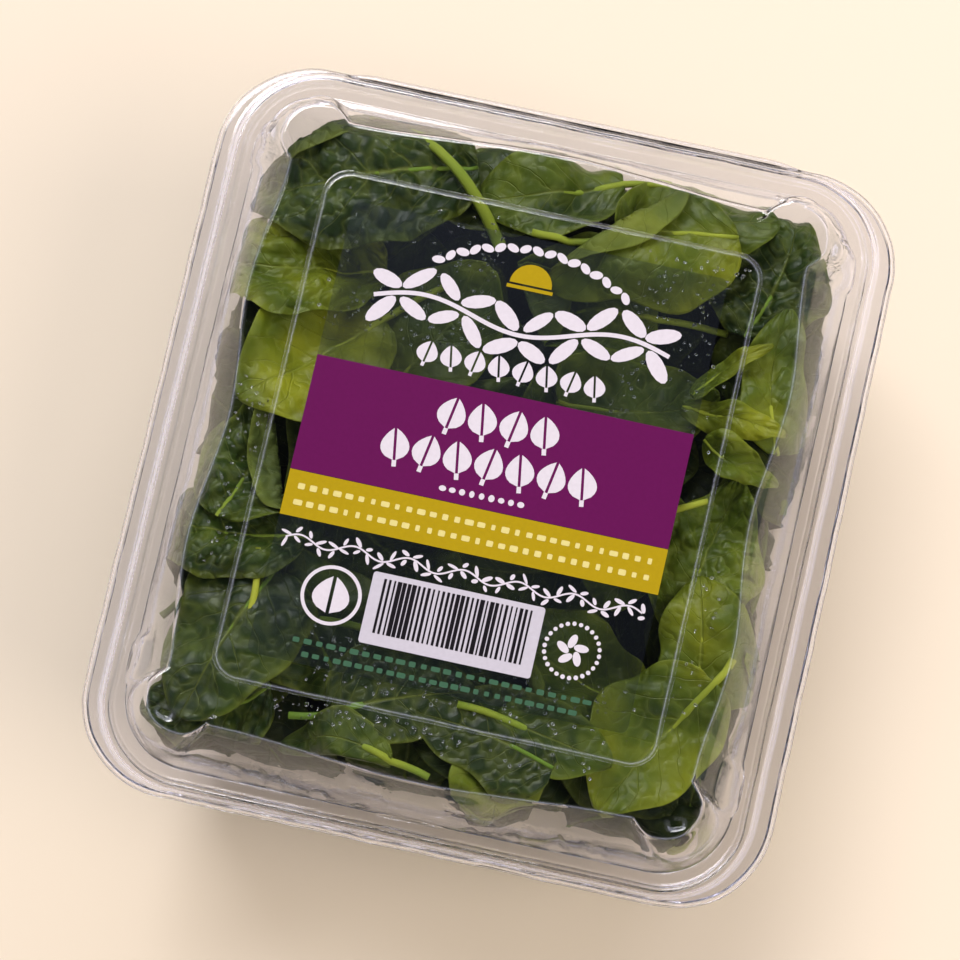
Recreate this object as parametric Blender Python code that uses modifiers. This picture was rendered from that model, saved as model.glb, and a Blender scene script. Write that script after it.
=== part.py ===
"""Clamshell of baby spinach: a clear thermoformed PET box, shut, full of loose leaves.

Metres, +Z up. The origin is the middle of the underside. -Y is the front, where the box opens,
and +Y is the back, where lid and tray are one sheet that folds. The sheet is split along that
fold, so that the lid can turn about it.
"""
import math
import random

import bmesh
import bpy
from mathutils import Matrix, Vector

MM = 0.001

# Box: half sizes over the rim, heights and sheet.
RIM_X = 88.5 * MM
RIM_Y = 96.7 * MM
RIM_Z = 56.0 * MM
LID_RISE = 17.0 * MM
PANEL_RISE = 1.0 * MM
SHEET = 0.8 * MM
LID_GAP = 0.4 * MM
HINGE_GAP = 0.3 * MM
BEAD_RISE = 1.5 * MM
FLOOR_DROP = RIM_Z - SHEET
FOOT_RECESS = 1.6 * MM

# Panel on the lid, and the label on it.
PANEL_X = 55.4 * MM
PANEL_Y = 65.8 * MM
PANEL_RADIUS = 6.0 * MM
PANEL_DRAFT = 0.8 * MM
LABEL_X = 48.3 * MM
LABEL_Y = 59.4 * MM
LABEL_RADIUS = 2.0 * MM
LABEL_THICKNESS = 0.3 * MM
LABEL_CORNER_STEPS = 4
LABEL_GAP = 0.3 * MM

# Steps of one outline: a long side, an end, a corner.
LONG_STEPS = 12
END_STEPS = 8
CORNER_STEPS = 5
OUTLINE_STEPS = 2 * (LONG_STEPS + END_STEPS + 2 * CORNER_STEPS)

# Heap of leaves.
HEAP_FLOOR = 3.2 * MM
HEAP_TOP = 60.0 * MM
HEAP_EDGE_DROP = 8.5 * MM
HEAP_EDGE_RUN = 10.0 * MM
HEAP_SWELL = 1.2 * MM
HEAP_SWELL_PERIOD = 19.0 * MM
CORE_INSET = 5.5 * MM
CORE_RINGS = ((HEAP_FLOOR, 9.0 * MM), (9.0 * MM, CORE_INSET), (28.0 * MM, CORE_INSET),
              (44.0 * MM, CORE_INSET), (51.0 * MM, 7.0 * MM))
CORE_TOP_SHARES = (0.86, 0.62, 0.36)
CORE_FOOT_Z = 6.0 * MM
CORE_STRIDE = 2
CORE_STEPS = OUTLINE_STEPS // CORE_STRIDE
LEAF_THICKNESS = 1.1 * MM
LEAF_ROWS = 5
LEAF_COLUMNS = 2
LEAF_CUP = 3.0 * MM
LEAF_RIPPLE = 1.3 * MM
LEAF_SINK = 1.0 * MM
LEAF_TIP_RISE = 2.0 * MM
LEAF_END_WIDTH = 0.16
WALL_CLEARANCE = 1.2 * MM
RIM_CLEARANCE = 2.7 * MM
STEM_RADIUS = 1.5 * MM
STEM_RISE = 0.6 * MM
STEM_POINTS = 4
HEAP_FACE_SHARE = 0.62
SEED = 16

# Rim, from its edge in: inset in X, inset in Y, corner radius, scallop, height over the rim.
RIM_RINGS = (
    (0.0, 0.0, 24.5, 0.0, 0.0),
    (4.7, 1.4, 22.8, 0.0, 0.0),
    (5.9, 2.4, 21.8, 0.0, BEAD_RISE / MM),
    (7.1, 3.4, 20.8, 0.0, BEAD_RISE / MM),
    (8.3, 4.6, 19.6, 0.0, 0.0),
    (11.5, 8.3, 18.0, 0.0, 0.0),
)

# Tray below the rim: the wall is scalloped, tapers down and turns into a floor with a raised middle.
TRAY_RINGS = (
    (12.2, 9.1, 17.5, 0.5, -1.2),
    (12.9, 9.9, 17.0, 3.6, -7.0),
    (16.0, 13.2, 16.0, 4.6, -28.0),
    (19.6, 17.0, 15.0, 3.8, -47.0),
    (21.6, 19.0, 14.0, 2.4, -52.6),
    (25.0, 22.4, 12.0, 1.0, -FLOOR_DROP / MM),
    (36.0, 34.0, 10.0, 0.0, -FLOOR_DROP / MM),
    (38.0, 36.0, 9.0, 0.0, (FOOT_RECESS - FLOOR_DROP) / MM),
)

# Lid above the rim: a steep wall, a round shoulder and a scalloped top that steps up to the panel.
LID_RINGS = (
    (12.0, 8.9, 17.8, 0.3, 2.4),
    (13.6, 10.4, 17.0, 1.6, 8.5),
    (16.2, 12.6, 16.0, 2.6, 13.4),
    (18.6, 14.4, 15.0, 3.0, 16.1),
    (20.9, 16.1, 14.0, 3.0, LID_RISE / MM),
)

# Leaves that show from above: x, y, length, width in mm, and the heading of the tip in degrees.
TOP_LEAVES = (
    (-10, 6, 50, 40, 60), (12, -14, 48, 38, 200), (-20, -20, 46, 36, 330), (20, 14, 46, 38, 120),
    (-22, 34, 44, 34, 60), (10, 46, 46, 34, 190), (32, 28, 42, 32, 15), (34, -8, 40, 32, 280),
    (-36, -46, 42, 34, 130), (0, -50, 44, 34, 350), (28, -44, 42, 32, 160), (-40, 2, 42, 34, 250),
    (-20, 74, 40, 26, 190), (-2, 75, 40, 26, 200), (58, 68, 38, 28, 80), (38, 72, 42, 30, 20),
    (26, 62, 50, 34, 205), (61, 36, 42, 28, 110), (62, 12, 36, 26, 60), (59, -6, 42, 30, 80),
    (60, -31, 34, 28, 100), (56, -60, 44, 32, 240), (34, -70, 40, 28, 10), (15, -68, 40, 28, 170),
    (-11, -66, 42, 30, 20), (-22, -74, 36, 24, 180), (-57, -71, 34, 26, 200), (-54, -57, 46, 36, 250),
    (-62, -28, 42, 28, 185), (-61, -8, 38, 28, 80), (-51, 20, 44, 36, 225), (-64, 42, 40, 28, 260),
    (-48, 62, 60, 40, 195),
)

# Stems that show: x, y, length in mm and heading in degrees.
TOP_STEMS = (
    (-17, 63, 24, 325), (12, 80, 22, 5), (-53, -43, 28, 272), (-34, 40, 22, 60), (52, 50, 20, 300),
    (-33, -76, 16, 200), (24, -62, 16, 330), (44, 30, 18, 80),
)

# Leaves pressed against the wall: tiers of middle height in mm and how many go round.
WALL_TIERS = ((20.0, 11), (38.0, 14))
WALL_LEAF_LENGTH = 38 * MM
WALL_LEAF_WIDTH = 32 * MM
WALL_LEAF_LOW = 5.5 * MM
WALL_LEAF_HIGH = 51 * MM
WALL_LEAF_LEAN = 40
WALL_STEP = 8.1 * MM
WALL_SHIFT = 0.2
WALL_LEAF_MIN_INSET = 1.4 * MM


def ring_section(row):
    """(half x, half y, corner radius, scallop) and height over the rim, in metres, of a row."""
    inset_x, inset_y, radius, scallop, height = row
    section = (RIM_X - inset_x * MM, RIM_Y - inset_y * MM, radius * MM, scallop * MM)
    return section, height * MM


def long_scallop(u):
    """Pinched at mid-length and at both ends of a long side, u running from -1 to 1."""
    return (1 + math.cos(2 * math.pi * u)) / 2


def end_scallop(u):
    """One wide bulge between the two pinches of an end, u running from -1 to 1."""
    return (1 - math.cos(math.pi * u)) / 2


def corner_scallop(v):
    """Pinched at both ends of a corner and out at its middle, v running from 0 to 1."""
    return (1 + math.cos(2 * math.pi * v)) / 2


def outline_point(section, step):
    """Point on a scalloped rounded rectangle, counter-clockwise, step counted in outline steps."""
    half_x, half_y, radius, scallop = section
    straight_x, straight_y = half_x - radius, half_y - radius
    half_turn = LONG_STEPS + END_STEPS + 2 * CORNER_STEPS
    flip = -1 if step % (2 * half_turn) >= half_turn else 1
    step %= half_turn
    if step < LONG_STEPS:
        u = 2 * step / LONG_STEPS - 1
        x, y = half_x - scallop * long_scallop(u), straight_y * u
    elif step < LONG_STEPS + CORNER_STEPS:
        v = (step - LONG_STEPS) / CORNER_STEPS
        reach = radius - scallop * corner_scallop(v)
        x = straight_x + reach * math.cos(v * math.pi / 2)
        y = straight_y + reach * math.sin(v * math.pi / 2)
    elif step < LONG_STEPS + CORNER_STEPS + END_STEPS:
        u = 2 * (step - LONG_STEPS - CORNER_STEPS) / END_STEPS - 1
        x, y = -straight_x * u, half_y - scallop * end_scallop(u)
    else:
        v = (step - LONG_STEPS - CORNER_STEPS - END_STEPS) / CORNER_STEPS
        reach = radius - scallop * corner_scallop(v)
        x = -straight_x - reach * math.sin(v * math.pi / 2)
        y = straight_y + reach * math.cos(v * math.pi / 2)
    return flip * x, flip * y


def beyond_outline(x, y, section):
    """How far a point lies outside a section's outline, and the way out there."""
    half_x, half_y, radius, scallop = section
    straight_x, straight_y = half_x - radius, half_y - radius
    over_x, over_y = abs(x) - straight_x, abs(y) - straight_y
    way_x, way_y = math.copysign(1, x), math.copysign(1, y)
    if over_x > 0 and over_y > 0:
        far = math.hypot(over_x, over_y)
        v = math.atan2(over_y, over_x) / (math.pi / 2)
        way = Vector((way_x * over_x / far, way_y * over_y / far, 0))
        return far - radius + scallop * corner_scallop(v), way
    if over_x - radius > over_y - radius:
        return over_x - radius + scallop * long_scallop(y / straight_y), Vector((way_x, 0, 0))
    return over_y - radius + scallop * end_scallop(x / straight_x), Vector((0, way_y, 0))


def box_section(z):
    """Section of the space inside the shut box at a height, from the tray's and the lid's rings."""
    rows = [ring_section(row) for row in reversed(TRAY_RINGS[:6])]
    rows.append(ring_section(RIM_RINGS[-1]))
    rows += [ring_section(row) for row in LID_RINGS]
    height = z - RIM_Z
    for (low, low_z), (high, high_z) in zip(rows, rows[1:]):
        if height <= high_z:
            share = max(0.0, (height - low_z) / (high_z - low_z))
            return tuple(a + (b - a) * share for a, b in zip(low, high))
    return rows[-1][0]


def inside_box(point, clearance):
    """The point, moved in where it is nearer to the box's wall than the clearance."""
    beyond, way = beyond_outline(point.x, point.y, box_section(point.z))
    return point - way * max(0.0, beyond + clearance)


def principled(name, colour, roughness, alpha=1.0):
    """A plain Principled material."""
    material = bpy.data.materials.new(name)
    material.use_nodes = True
    shader = material.node_tree.nodes["Principled BSDF"]
    shader.inputs["Base Color"].default_value = (*colour, 1.0)
    shader.inputs["Roughness"].default_value = roughness
    shader.inputs["Metallic"].default_value = 0.0
    shader.inputs["Alpha"].default_value = alpha
    return material


def mesh_object(name, points, faces, collection):
    """A mesh object in a collection."""
    mesh = bpy.data.meshes.new(name)
    mesh.from_pydata([tuple(p) for p in points], [], faces)
    mesh.validate()
    part = bpy.data.objects.new(name, mesh)
    collection.objects.link(part)
    return part


def ring_faces(rings, steps):
    """Faces between rings of points, one above the other, and one face across the last."""
    faces = []
    for start in range(0, (rings - 1) * steps, steps):
        for k in range(steps):
            after = (k + 1) % steps
            faces.append((start + k, start + after, start + steps + after, start + steps + k))
    last = (rings - 1) * steps
    return faces + [tuple(range(last, last + steps))]


def loft(rows, base_z):
    """Points and faces of a surface through the rows' outlines, closed by a face at the last."""
    points = []
    for row in rows:
        section, height = ring_section(row)
        points += [(*outline_point(section, k), base_z + height) for k in range(OUTLINE_STEPS)]
    return points, ring_faces(len(rows), OUTLINE_STEPS)


def shell(name, rows, base_z, side, material, collection):
    """A thin moulded sheet: a lofted surface with Solidify, above it (1) or below it (-1)."""
    points, faces = loft(rows, base_z)
    part = mesh_object(name, points, faces, collection)
    part.data.materials.append(material)
    part.data.shade_smooth()
    thick = part.modifiers.new("sheet", "SOLIDIFY")
    thick.thickness = SHEET
    thick.offset = side
    thick.use_even_offset = True
    return part


def make_tray(collection):
    """The tray: rim with its bead, scalloped wall and floor."""
    pet = principled("clear_pet_tray", (0.86, 0.87, 0.90), 0.08, 0.25)
    return shell("base_tray", RIM_RINGS + TRAY_RINGS, RIM_Z, -1, pet, collection)


def make_lid(collection):
    """The lid: the same rim over the tray's, a wall, a shoulder and the raised label panel."""
    pet = principled("clear_pet_lid", (0.86, 0.87, 0.90), 0.08, 0.25)
    foot_x = (RIM_X - PANEL_X - PANEL_DRAFT) / MM
    foot_y = (RIM_Y - PANEL_Y - PANEL_DRAFT) / MM
    panel = (
        (foot_x, foot_y, PANEL_RADIUS / MM + 0.6, 0.0, LID_RISE / MM),
        (foot_x + PANEL_DRAFT / MM, foot_y + PANEL_DRAFT / MM, PANEL_RADIUS / MM, 0.0,
         (LID_RISE + PANEL_RISE) / MM),
    )
    rows = RIM_RINGS + LID_RINGS + panel
    lid = shell("lid", rows, 0.0, 1, pet, collection)
    hinge = bpy.data.objects.new("lid_hinge_axis", None)
    hinge.location = (0, RIM_Y + HINGE_GAP, RIM_Z + LID_GAP / 2)
    collection.objects.link(hinge)
    seat = Vector((0, 0, RIM_Z + LID_GAP)) - hinge.location
    lid.data.transform(Matrix.Translation(seat))
    lid.parent = hinge
    return lid


def make_label(hinge, collection):
    """The label: a thin film with round corners, a hair above the lid's panel."""
    film = principled("label_film", (0.42, 0.16, 0.36), 0.35)
    bottom = RIM_Z + LID_GAP + LID_RISE + PANEL_RISE + SHEET + LABEL_GAP
    flat = bmesh.new()
    bmesh.ops.create_cube(flat, size=1.0)
    bmesh.ops.scale(flat, vec=(2 * LABEL_X, 2 * LABEL_Y, LABEL_THICKNESS), verts=flat.verts)
    upright = [edge for edge in flat.edges
               if abs(edge.verts[0].co.z - edge.verts[1].co.z) > LABEL_THICKNESS / 2]
    bmesh.ops.bevel(flat, geom=upright, offset=LABEL_RADIUS,
                      segments=LABEL_CORNER_STEPS, affect="EDGES", profile=0.5)
    place = Vector((0, 0, bottom + LABEL_THICKNESS / 2)) - hinge.location
    bmesh.ops.translate(flat, vec=place, verts=flat.verts)
    mesh = bpy.data.meshes.new("label")
    flat.to_mesh(mesh)
    flat.free()
    mesh.materials.append(film)
    label = bpy.data.objects.new("label", mesh)
    label.parent = hinge
    collection.objects.link(label)
    return label


def heap_height(x, y):
    """Height of the heap's core, which falls towards the wall."""
    beyond, _ = beyond_outline(x, y, ring_section(RIM_RINGS[-1])[0])
    inside = max(0.0, -beyond)
    swell = HEAP_SWELL * math.sin(x / HEAP_SWELL_PERIOD) * math.cos(y / HEAP_SWELL_PERIOD)
    return HEAP_TOP + swell - HEAP_EDGE_DROP * math.exp(-inside / HEAP_EDGE_RUN)


def make_core(collection):
    """The heap's core: it fills the tray short of the wall and has a low, uneven top."""
    rings = []
    for z, inset in CORE_RINGS:
        section = box_section(max(z, CORE_FOOT_Z))
        ring = [outline_point(section, CORE_STRIDE * k) for k in range(CORE_STEPS)]
        rings.append([inset_point(x, y, z, section, inset) for x, y in ring])
    rim = rings[-1]
    for share in CORE_TOP_SHARES:
        rings.append([Vector((p.x * share, p.y * share, heap_height(p.x * share, p.y * share)))
                      for p in rim])
    points = [p for ring in rings for p in ring]
    faces = ring_faces(len(rings), CORE_STEPS)
    faces.append(tuple(reversed(range(CORE_STEPS))))
    return mesh_object("spinach_leaves", points, faces, collection)


def inset_point(x, y, z, section, inset):
    """A point of an outline, moved in along the way out there."""
    _, way = beyond_outline(x, y, section)
    return Vector((x, y, z)) - way * inset


def leaf_width(t):
    """Share of a leaf's half width at a share t of its length from the stem to the tip."""
    return max(LEAF_END_WIDTH, math.sin(math.pi * t ** 0.85) ** 0.7)


def leaf_grid(length, width, phase):
    """Rows of (along, across, lift) over a leaf: cupped, with rippled margins."""
    grid = []
    for row in range(LEAF_ROWS + 1):
        t = row / LEAF_ROWS
        half = width / 2 * leaf_width(t)
        line = []
        for column in range(LEAF_COLUMNS + 1):
            s = 2 * column / LEAF_COLUMNS - 1
            lift = LEAF_CUP * s * s * (0.5 + 0.5 * math.sin(phase + 2 * t))
            lift += LEAF_RIPPLE * abs(s) * math.sin(phase + 7 * t + 2 * s)
            line.append(((t - 0.5) * length, s * half, lift * leaf_width(t)))
        grid.append(line)
    return grid


def thin_solid(name, grid, thickness, collection):
    """A closed sheet about a grid of points, both faces split into triangles alike."""
    rows, columns = len(grid), len(grid[0])
    upper, lower = [], []
    for i in range(rows):
        for j in range(columns):
            along = grid[min(i + 1, rows - 1)][j] - grid[max(i - 1, 0)][j]
            across = grid[i][min(j + 1, columns - 1)] - grid[i][max(j - 1, 0)]
            normal = along.cross(across).normalized() * thickness / 2
            upper.append(grid[i][j] + normal)
            lower.append(grid[i][j] - normal)
    count = rows * columns
    faces = []
    for i in range(rows - 1):
        for j in range(columns - 1):
            a, b = i * columns + j, i * columns + j + 1
            c, d = a + columns, b + columns
            faces += [(a, c, b), (b, c, d)]
            faces += [(count + a, count + b, count + c), (count + b, count + d, count + c)]
    edge = [j for j in range(columns)]
    edge += [i * columns + columns - 1 for i in range(1, rows)]
    edge += [(rows - 1) * columns + j for j in range(columns - 2, -1, -1)]
    edge += [i * columns for i in range(rows - 2, 0, -1)]
    for a, b in zip(edge, edge[1:] + edge[:1]):
        faces += [(a, b, count + a), (b, count + b, count + a)]
    return mesh_object(name, upper + lower, faces, collection)


def top_leaf(number, spec, draw, collection):
    """One leaf that lies on the heap and turns down where it meets the wall."""
    x, y, length, width, heading = spec
    turn = math.radians(heading)
    tip_rise = draw.uniform(0.0, LEAF_TIP_RISE)
    grid = []
    for line in leaf_grid(length * MM, width * MM, draw.uniform(0, 2 * math.pi)):
        row = []
        for along, across, lift in line:
            px = x * MM + along * math.cos(turn) - across * math.sin(turn)
            py = y * MM + along * math.sin(turn) + across * math.cos(turn)
            beyond, way = beyond_outline(px, py, ring_section(RIM_RINGS[-1])[0])
            over = max(0.0, beyond + RIM_CLEARANCE)
            px, py = px - way.x * over, py - way.y * over
            pz = heap_height(px, py) - LEAF_SINK + lift + tip_rise * (0.5 + along / (length * MM))
            row.append(inside_box(Vector((px, py, pz - over)), WALL_CLEARANCE + LEAF_THICKNESS / 2))
        grid.append(row)
    return thin_solid(f"top_leaf_{number}", grid, LEAF_THICKNESS, collection)


def wall_leaf(number, step, height, heading, phase, collection):
    """One leaf that stands against the wall of the tray."""
    turn = math.radians(heading)
    tall = WALL_LEAF_LENGTH / 2 * math.cos(turn) + WALL_LEAF_WIDTH / 2 * abs(math.sin(turn))
    height = min(max(height, WALL_LEAF_LOW + tall), WALL_LEAF_HIGH - tall)
    grid = []
    for line in leaf_grid(WALL_LEAF_LENGTH, WALL_LEAF_WIDTH, phase):
        row = []
        for along, across, lift in line:
            z = height + along * math.cos(turn) - across * math.sin(turn)
            section = box_section(z)
            where = step + (along * math.sin(turn) + across * math.cos(turn)) / WALL_STEP
            x, y = outline_point(section, where % OUTLINE_STEPS)
            inset = max(CORE_INSET - lift, WALL_LEAF_MIN_INSET)
            row.append(inset_point(x, y, z, section, inset))
        grid.append(row)
    return thin_solid(f"wall_leaf_{number}", grid, LEAF_THICKNESS, collection)


def stem(number, spec, collection):
    """One stem, lying on the heap."""
    x, y, length, heading = spec
    turn = math.radians(heading)
    curve = bpy.data.curves.new(f"stem_{number}", "CURVE")
    curve.dimensions = "3D"
    curve.bevel_depth = STEM_RADIUS
    curve.bevel_resolution = 1
    curve.use_fill_caps = True
    line = curve.splines.new("POLY")
    line.points.add(STEM_POINTS - 1)
    for k, point in enumerate(line.points):
        along = (k / (STEM_POINTS - 1) - 0.5) * length * MM
        px, py = x * MM + along * math.cos(turn), y * MM + along * math.sin(turn)
        pz = heap_height(px, py) + STEM_RISE
        spot = inside_box(Vector((px, py, pz)), WALL_CLEARANCE + STEM_RADIUS)
        point.co = (*spot, 1)
    guide = bpy.data.objects.new(f"stem_{number}", curve)
    collection.objects.link(guide)
    bpy.context.view_layer.update()
    mesh = bpy.data.meshes.new_from_object(guide.evaluated_get(bpy.context.evaluated_depsgraph_get()))
    bpy.data.objects.remove(guide)
    solid = bmesh.new()
    solid.from_mesh(mesh)
    bmesh.ops.remove_doubles(solid, verts=solid.verts, dist=0.00001)
    solid.to_mesh(mesh)
    solid.free()
    part = bpy.data.objects.new(f"stem_{number}", mesh)
    collection.objects.link(part)
    return part


def part_shared_diagonals(solid):
    """Gives one of two flat faces that were split along the same edge a corner of its own there."""
    for edge in [e for e in solid.edges if len(e.link_faces) == 4]:
        first = edge.link_faces[0]
        mate = max(edge.link_faces[1:], key=lambda face: face.normal.dot(first.normal))
        middle = solid.verts.new((edge.verts[0].co + edge.verts[1].co) / 2)
        for face in (first, mate):
            corner = next(vert for vert in face.verts if vert not in edge.verts)
            after = [loop for loop in face.loops if loop.vert is corner][0].link_loop_next
            start, end = after.vert, after.link_loop_next.vert
            solid.faces.remove(face)
            solid.faces.new((corner, start, middle))
            solid.faces.new((corner, middle, end))


def keep_largest_body(solid):
    """Drops loose scraps and sealed hollows: all but the body with the most corners."""
    left = set(solid.verts)
    bodies = []
    while left:
        body, front = set(), [left.pop()]
        while front:
            vert = front.pop()
            body.add(vert)
            for edge in vert.link_edges:
                other = edge.other_vert(vert)
                if other in left:
                    left.discard(other)
                    front.append(other)
        bodies.append(body)
    largest = max(bodies, key=len)
    loose = [vert for vert in solid.verts if vert not in largest]
    bmesh.ops.delete(solid, geom=loose, context="VERTS")


def triangles_of_one_body(mesh):
    """Splits a mesh into triangles and leaves its one main body."""
    solid = bmesh.new()
    solid.from_mesh(mesh)
    bmesh.ops.triangulate(solid, faces=solid.faces)
    part_shared_diagonals(solid)
    keep_largest_body(solid)
    solid.to_mesh(mesh)
    solid.free()


def apply_modifiers(part):
    """Makes what a part's modifiers give its own mesh."""
    bpy.context.view_layer.update()
    graph = bpy.context.evaluated_depsgraph_get()
    mesh = bpy.data.meshes.new_from_object(part.evaluated_get(graph))
    part.modifiers.clear()
    part.data = mesh


def make_heap(collection, leaves):
    """The heap: a core with the leaves that show fused on by one union."""
    green = principled("spinach_green", (0.055, 0.12, 0.03), 0.45)
    draw = random.Random(SEED)
    heap = make_core(collection)
    for number, spec in enumerate(TOP_LEAVES):
        top_leaf(number, spec, draw, leaves)
    number = 0
    for height, count in WALL_TIERS:
        for k in range(count):
            step = (k + draw.uniform(-WALL_SHIFT, WALL_SHIFT)) * OUTLINE_STEPS / count
            lean = draw.uniform(-WALL_LEAF_LEAN, WALL_LEAF_LEAN)
            wall_leaf(number, step, height * MM, lean, draw.uniform(0, 2 * math.pi), leaves)
            number += 1
    for number, spec in enumerate(TOP_STEMS):
        stem(number, spec, leaves)
    union = heap.modifiers.new("fuse", "BOOLEAN")
    union.operation = "UNION"
    union.operand_type = "COLLECTION"
    union.collection = leaves
    union.solver = "MANIFOLD"
    apply_modifiers(heap)
    triangles_of_one_body(heap.data)
    fewer = heap.modifiers.new("fewer_faces", "DECIMATE")
    fewer.ratio = HEAP_FACE_SHARE
    apply_modifiers(heap)
    heap.data.materials.clear()
    heap.data.materials.append(green)
    for leaf in list(leaves.objects):
        bpy.data.objects.remove(leaf)
    bpy.data.collections.remove(leaves)
    return heap


def new_collection(name):
    """A collection in the scene."""
    collection = bpy.data.collections.new(name)
    bpy.context.scene.collection.children.link(collection)
    return collection


def main():
    """Builds the clamshell."""
    for old in list(bpy.data.objects):
        bpy.data.objects.remove(old)
    parts = new_collection("clamshell_of_baby_spinach")
    leaves = new_collection("leaves_to_fuse")
    make_tray(parts)
    lid = make_lid(parts)
    make_label(lid.parent, parts)
    make_heap(parts, leaves)


main()
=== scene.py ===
# %% [markdown]
# # A clamshell of baby spinach
# The pack is one clear sheet of PET, drawn over a mould and folded along its back edge, so that
# it makes a tray and a lid. Loose leaves fill it, and a clear printed label sits on the lid.
# The frame gives the tray, the lid, the label and the heap their places. Everything here is made
# around those places, in metres, with +Z up and the opening edge towards -Y.

# %% Frame
import math
import random

import bmesh
import bpy
import numpy as np
from mathutils import Matrix, Vector


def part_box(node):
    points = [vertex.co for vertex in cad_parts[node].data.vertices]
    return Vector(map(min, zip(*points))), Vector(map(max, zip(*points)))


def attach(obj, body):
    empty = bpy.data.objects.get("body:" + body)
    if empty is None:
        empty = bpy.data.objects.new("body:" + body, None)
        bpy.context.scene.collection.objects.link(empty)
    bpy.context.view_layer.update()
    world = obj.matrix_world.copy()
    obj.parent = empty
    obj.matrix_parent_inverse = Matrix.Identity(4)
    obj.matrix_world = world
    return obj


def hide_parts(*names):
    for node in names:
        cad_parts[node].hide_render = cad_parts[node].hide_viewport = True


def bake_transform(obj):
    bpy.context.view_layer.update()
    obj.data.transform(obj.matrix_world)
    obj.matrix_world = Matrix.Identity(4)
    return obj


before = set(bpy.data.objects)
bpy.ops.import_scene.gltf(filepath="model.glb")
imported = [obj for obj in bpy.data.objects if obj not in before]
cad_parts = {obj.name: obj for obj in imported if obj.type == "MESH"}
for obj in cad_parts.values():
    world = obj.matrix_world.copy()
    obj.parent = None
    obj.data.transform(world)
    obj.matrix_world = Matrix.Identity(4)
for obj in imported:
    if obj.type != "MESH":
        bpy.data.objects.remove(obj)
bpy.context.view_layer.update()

MM = 0.001

# %% Sizes that come from the frame
TRAY_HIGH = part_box("base_tray")[1]
LID_LOW, LID_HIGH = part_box("lid")
LABEL_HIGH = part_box("label")[1]
HEAP_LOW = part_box("spinach_leaves")[0]
RIM_X = TRAY_HIGH.x
RIM_Y = TRAY_HIGH.y
CAD_SHEET = 0.8 * MM                     # the frame's walls are thicker than the real sheet
BEAD_RISE = 1.5 * MM
RIM_Z = TRAY_HIGH.z - BEAD_RISE          # top face of the tray's rim
LID_Z = LID_LOW.z                        # under face of the lid's rim
PANEL_TOP = LID_HIGH.z                   # outer face of the label panel
LID_RISE = 17.0 * MM
PANEL_X, PANEL_Y = 55.4 * MM, 65.8 * MM
print("rim", round(RIM_X, 4), round(RIM_Y, 4), "tray rim z", round(RIM_Z, 4), "lid z", round(LID_Z, 4))

# %% [markdown]
# ## The camera
# The pack is seen from almost straight above, a little from the front and the right, and turned
# on the picture by about 13 degrees. A long lens keeps its sides nearly parallel.

# %% Camera
VIEW_LEAN = Vector((0.075, -0.215, 1.0)).normalized()
VIEW_ROLL = math.radians(13.05)
VIEW_FAR = 1.6
FIELD = 0.2425                           # metres across the picture at the rim
AIM_SHIFT = (-2.75 * MM, 0.4 * MM)
NEAREST_SEEN = 0.05


def in_scene(name, data):
    """A new object in the scene, for a mesh, a light or a camera."""
    made = bpy.data.objects.new(name, data)
    bpy.context.scene.collection.objects.link(made)
    return made


def place_camera():
    """A camera over the pack, with the hinge edge up on the picture, then rolled."""
    across = Vector((0, 1, 0)).cross(VIEW_LEAN).normalized()
    up = VIEW_LEAN.cross(across)
    right = across * math.cos(VIEW_ROLL) + up * math.sin(VIEW_ROLL)
    rolled_up = up * math.cos(VIEW_ROLL) - across * math.sin(VIEW_ROLL)
    aim = Vector((0, 0, RIM_Z)) + right * AIM_SHIFT[0] + rolled_up * AIM_SHIFT[1]
    turn = Matrix((right, rolled_up, VIEW_LEAN)).transposed().to_4x4()
    lens = bpy.data.cameras.new("camera")
    lens.lens = lens.sensor_width * VIEW_FAR / FIELD
    lens.clip_start = NEAREST_SEEN
    camera = in_scene("camera", lens)
    camera.matrix_world = Matrix.Translation(aim + VIEW_LEAN * VIEW_FAR) @ turn
    return camera


bpy.context.scene.camera = place_camera()
bpy.context.scene.view_settings.view_transform = "Standard"
print("camera lens", round(bpy.context.scene.camera.data.lens, 1))

# %% [markdown]
# ## Colours and nodes
# Colours are written as sRGB hex values, the way a paint chart gives them, and turned to the
# linear values that shaders use. Every node in this file, of a material or of a geometry tree, is
# added by one function, which takes the node's settings and what goes into its inputs.

# %% Colours and nodes
def ink(code):
    """A linear colour from an sRGB hex value."""
    parts = [int(code[k:k + 2], 16) / 255 for k in (1, 3, 5)]
    linear = [v / 12.92 if v <= 0.04045 else ((v + 0.055) / 1.055) ** 2.4 for v in parts]
    return (*linear, 1.0)


def feed(tree, node, wires):
    """Gives a node's inputs, in order or by name, values, sockets, or nodes, whose first output is used."""
    in_order = [socket for socket in node.inputs if socket.enabled]
    for slot, value in wires.items() if isinstance(wires, dict) else enumerate(wires):
        socket = node.inputs[slot] if isinstance(slot, str) else in_order[slot]
        if isinstance(value, bpy.types.Node):
            value = next(output for output in value.outputs if output.enabled)
        if isinstance(value, bpy.types.NodeSocket):
            tree.links.new(value, socket)
        else:
            socket.default_value = value
    return node


def put(tree, kind, wires=(), **settings):
    """Adds a node with its settings, and feeds its inputs."""
    made = tree.nodes.new(kind)
    for name, value in settings.items():
        setattr(made, name, value)
    return feed(tree, made, wires)


def with_stops(node, stops):
    """A node whose colour ramp is given its (place, colour) stops."""
    marks = node.color_ramp.elements
    while len(marks) < len(stops):
        marks.new(0.5)
    for mark, (place, colour) in zip(marks, stops):
        mark.position = place
        mark.color = colour
    return node


def new_material(name):
    """A new material, its node tree and the Principled shader in it."""
    material = bpy.data.materials.new(name)
    material.use_nodes = True
    return material, material.node_tree, material.node_tree.nodes["Principled BSDF"]


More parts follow.
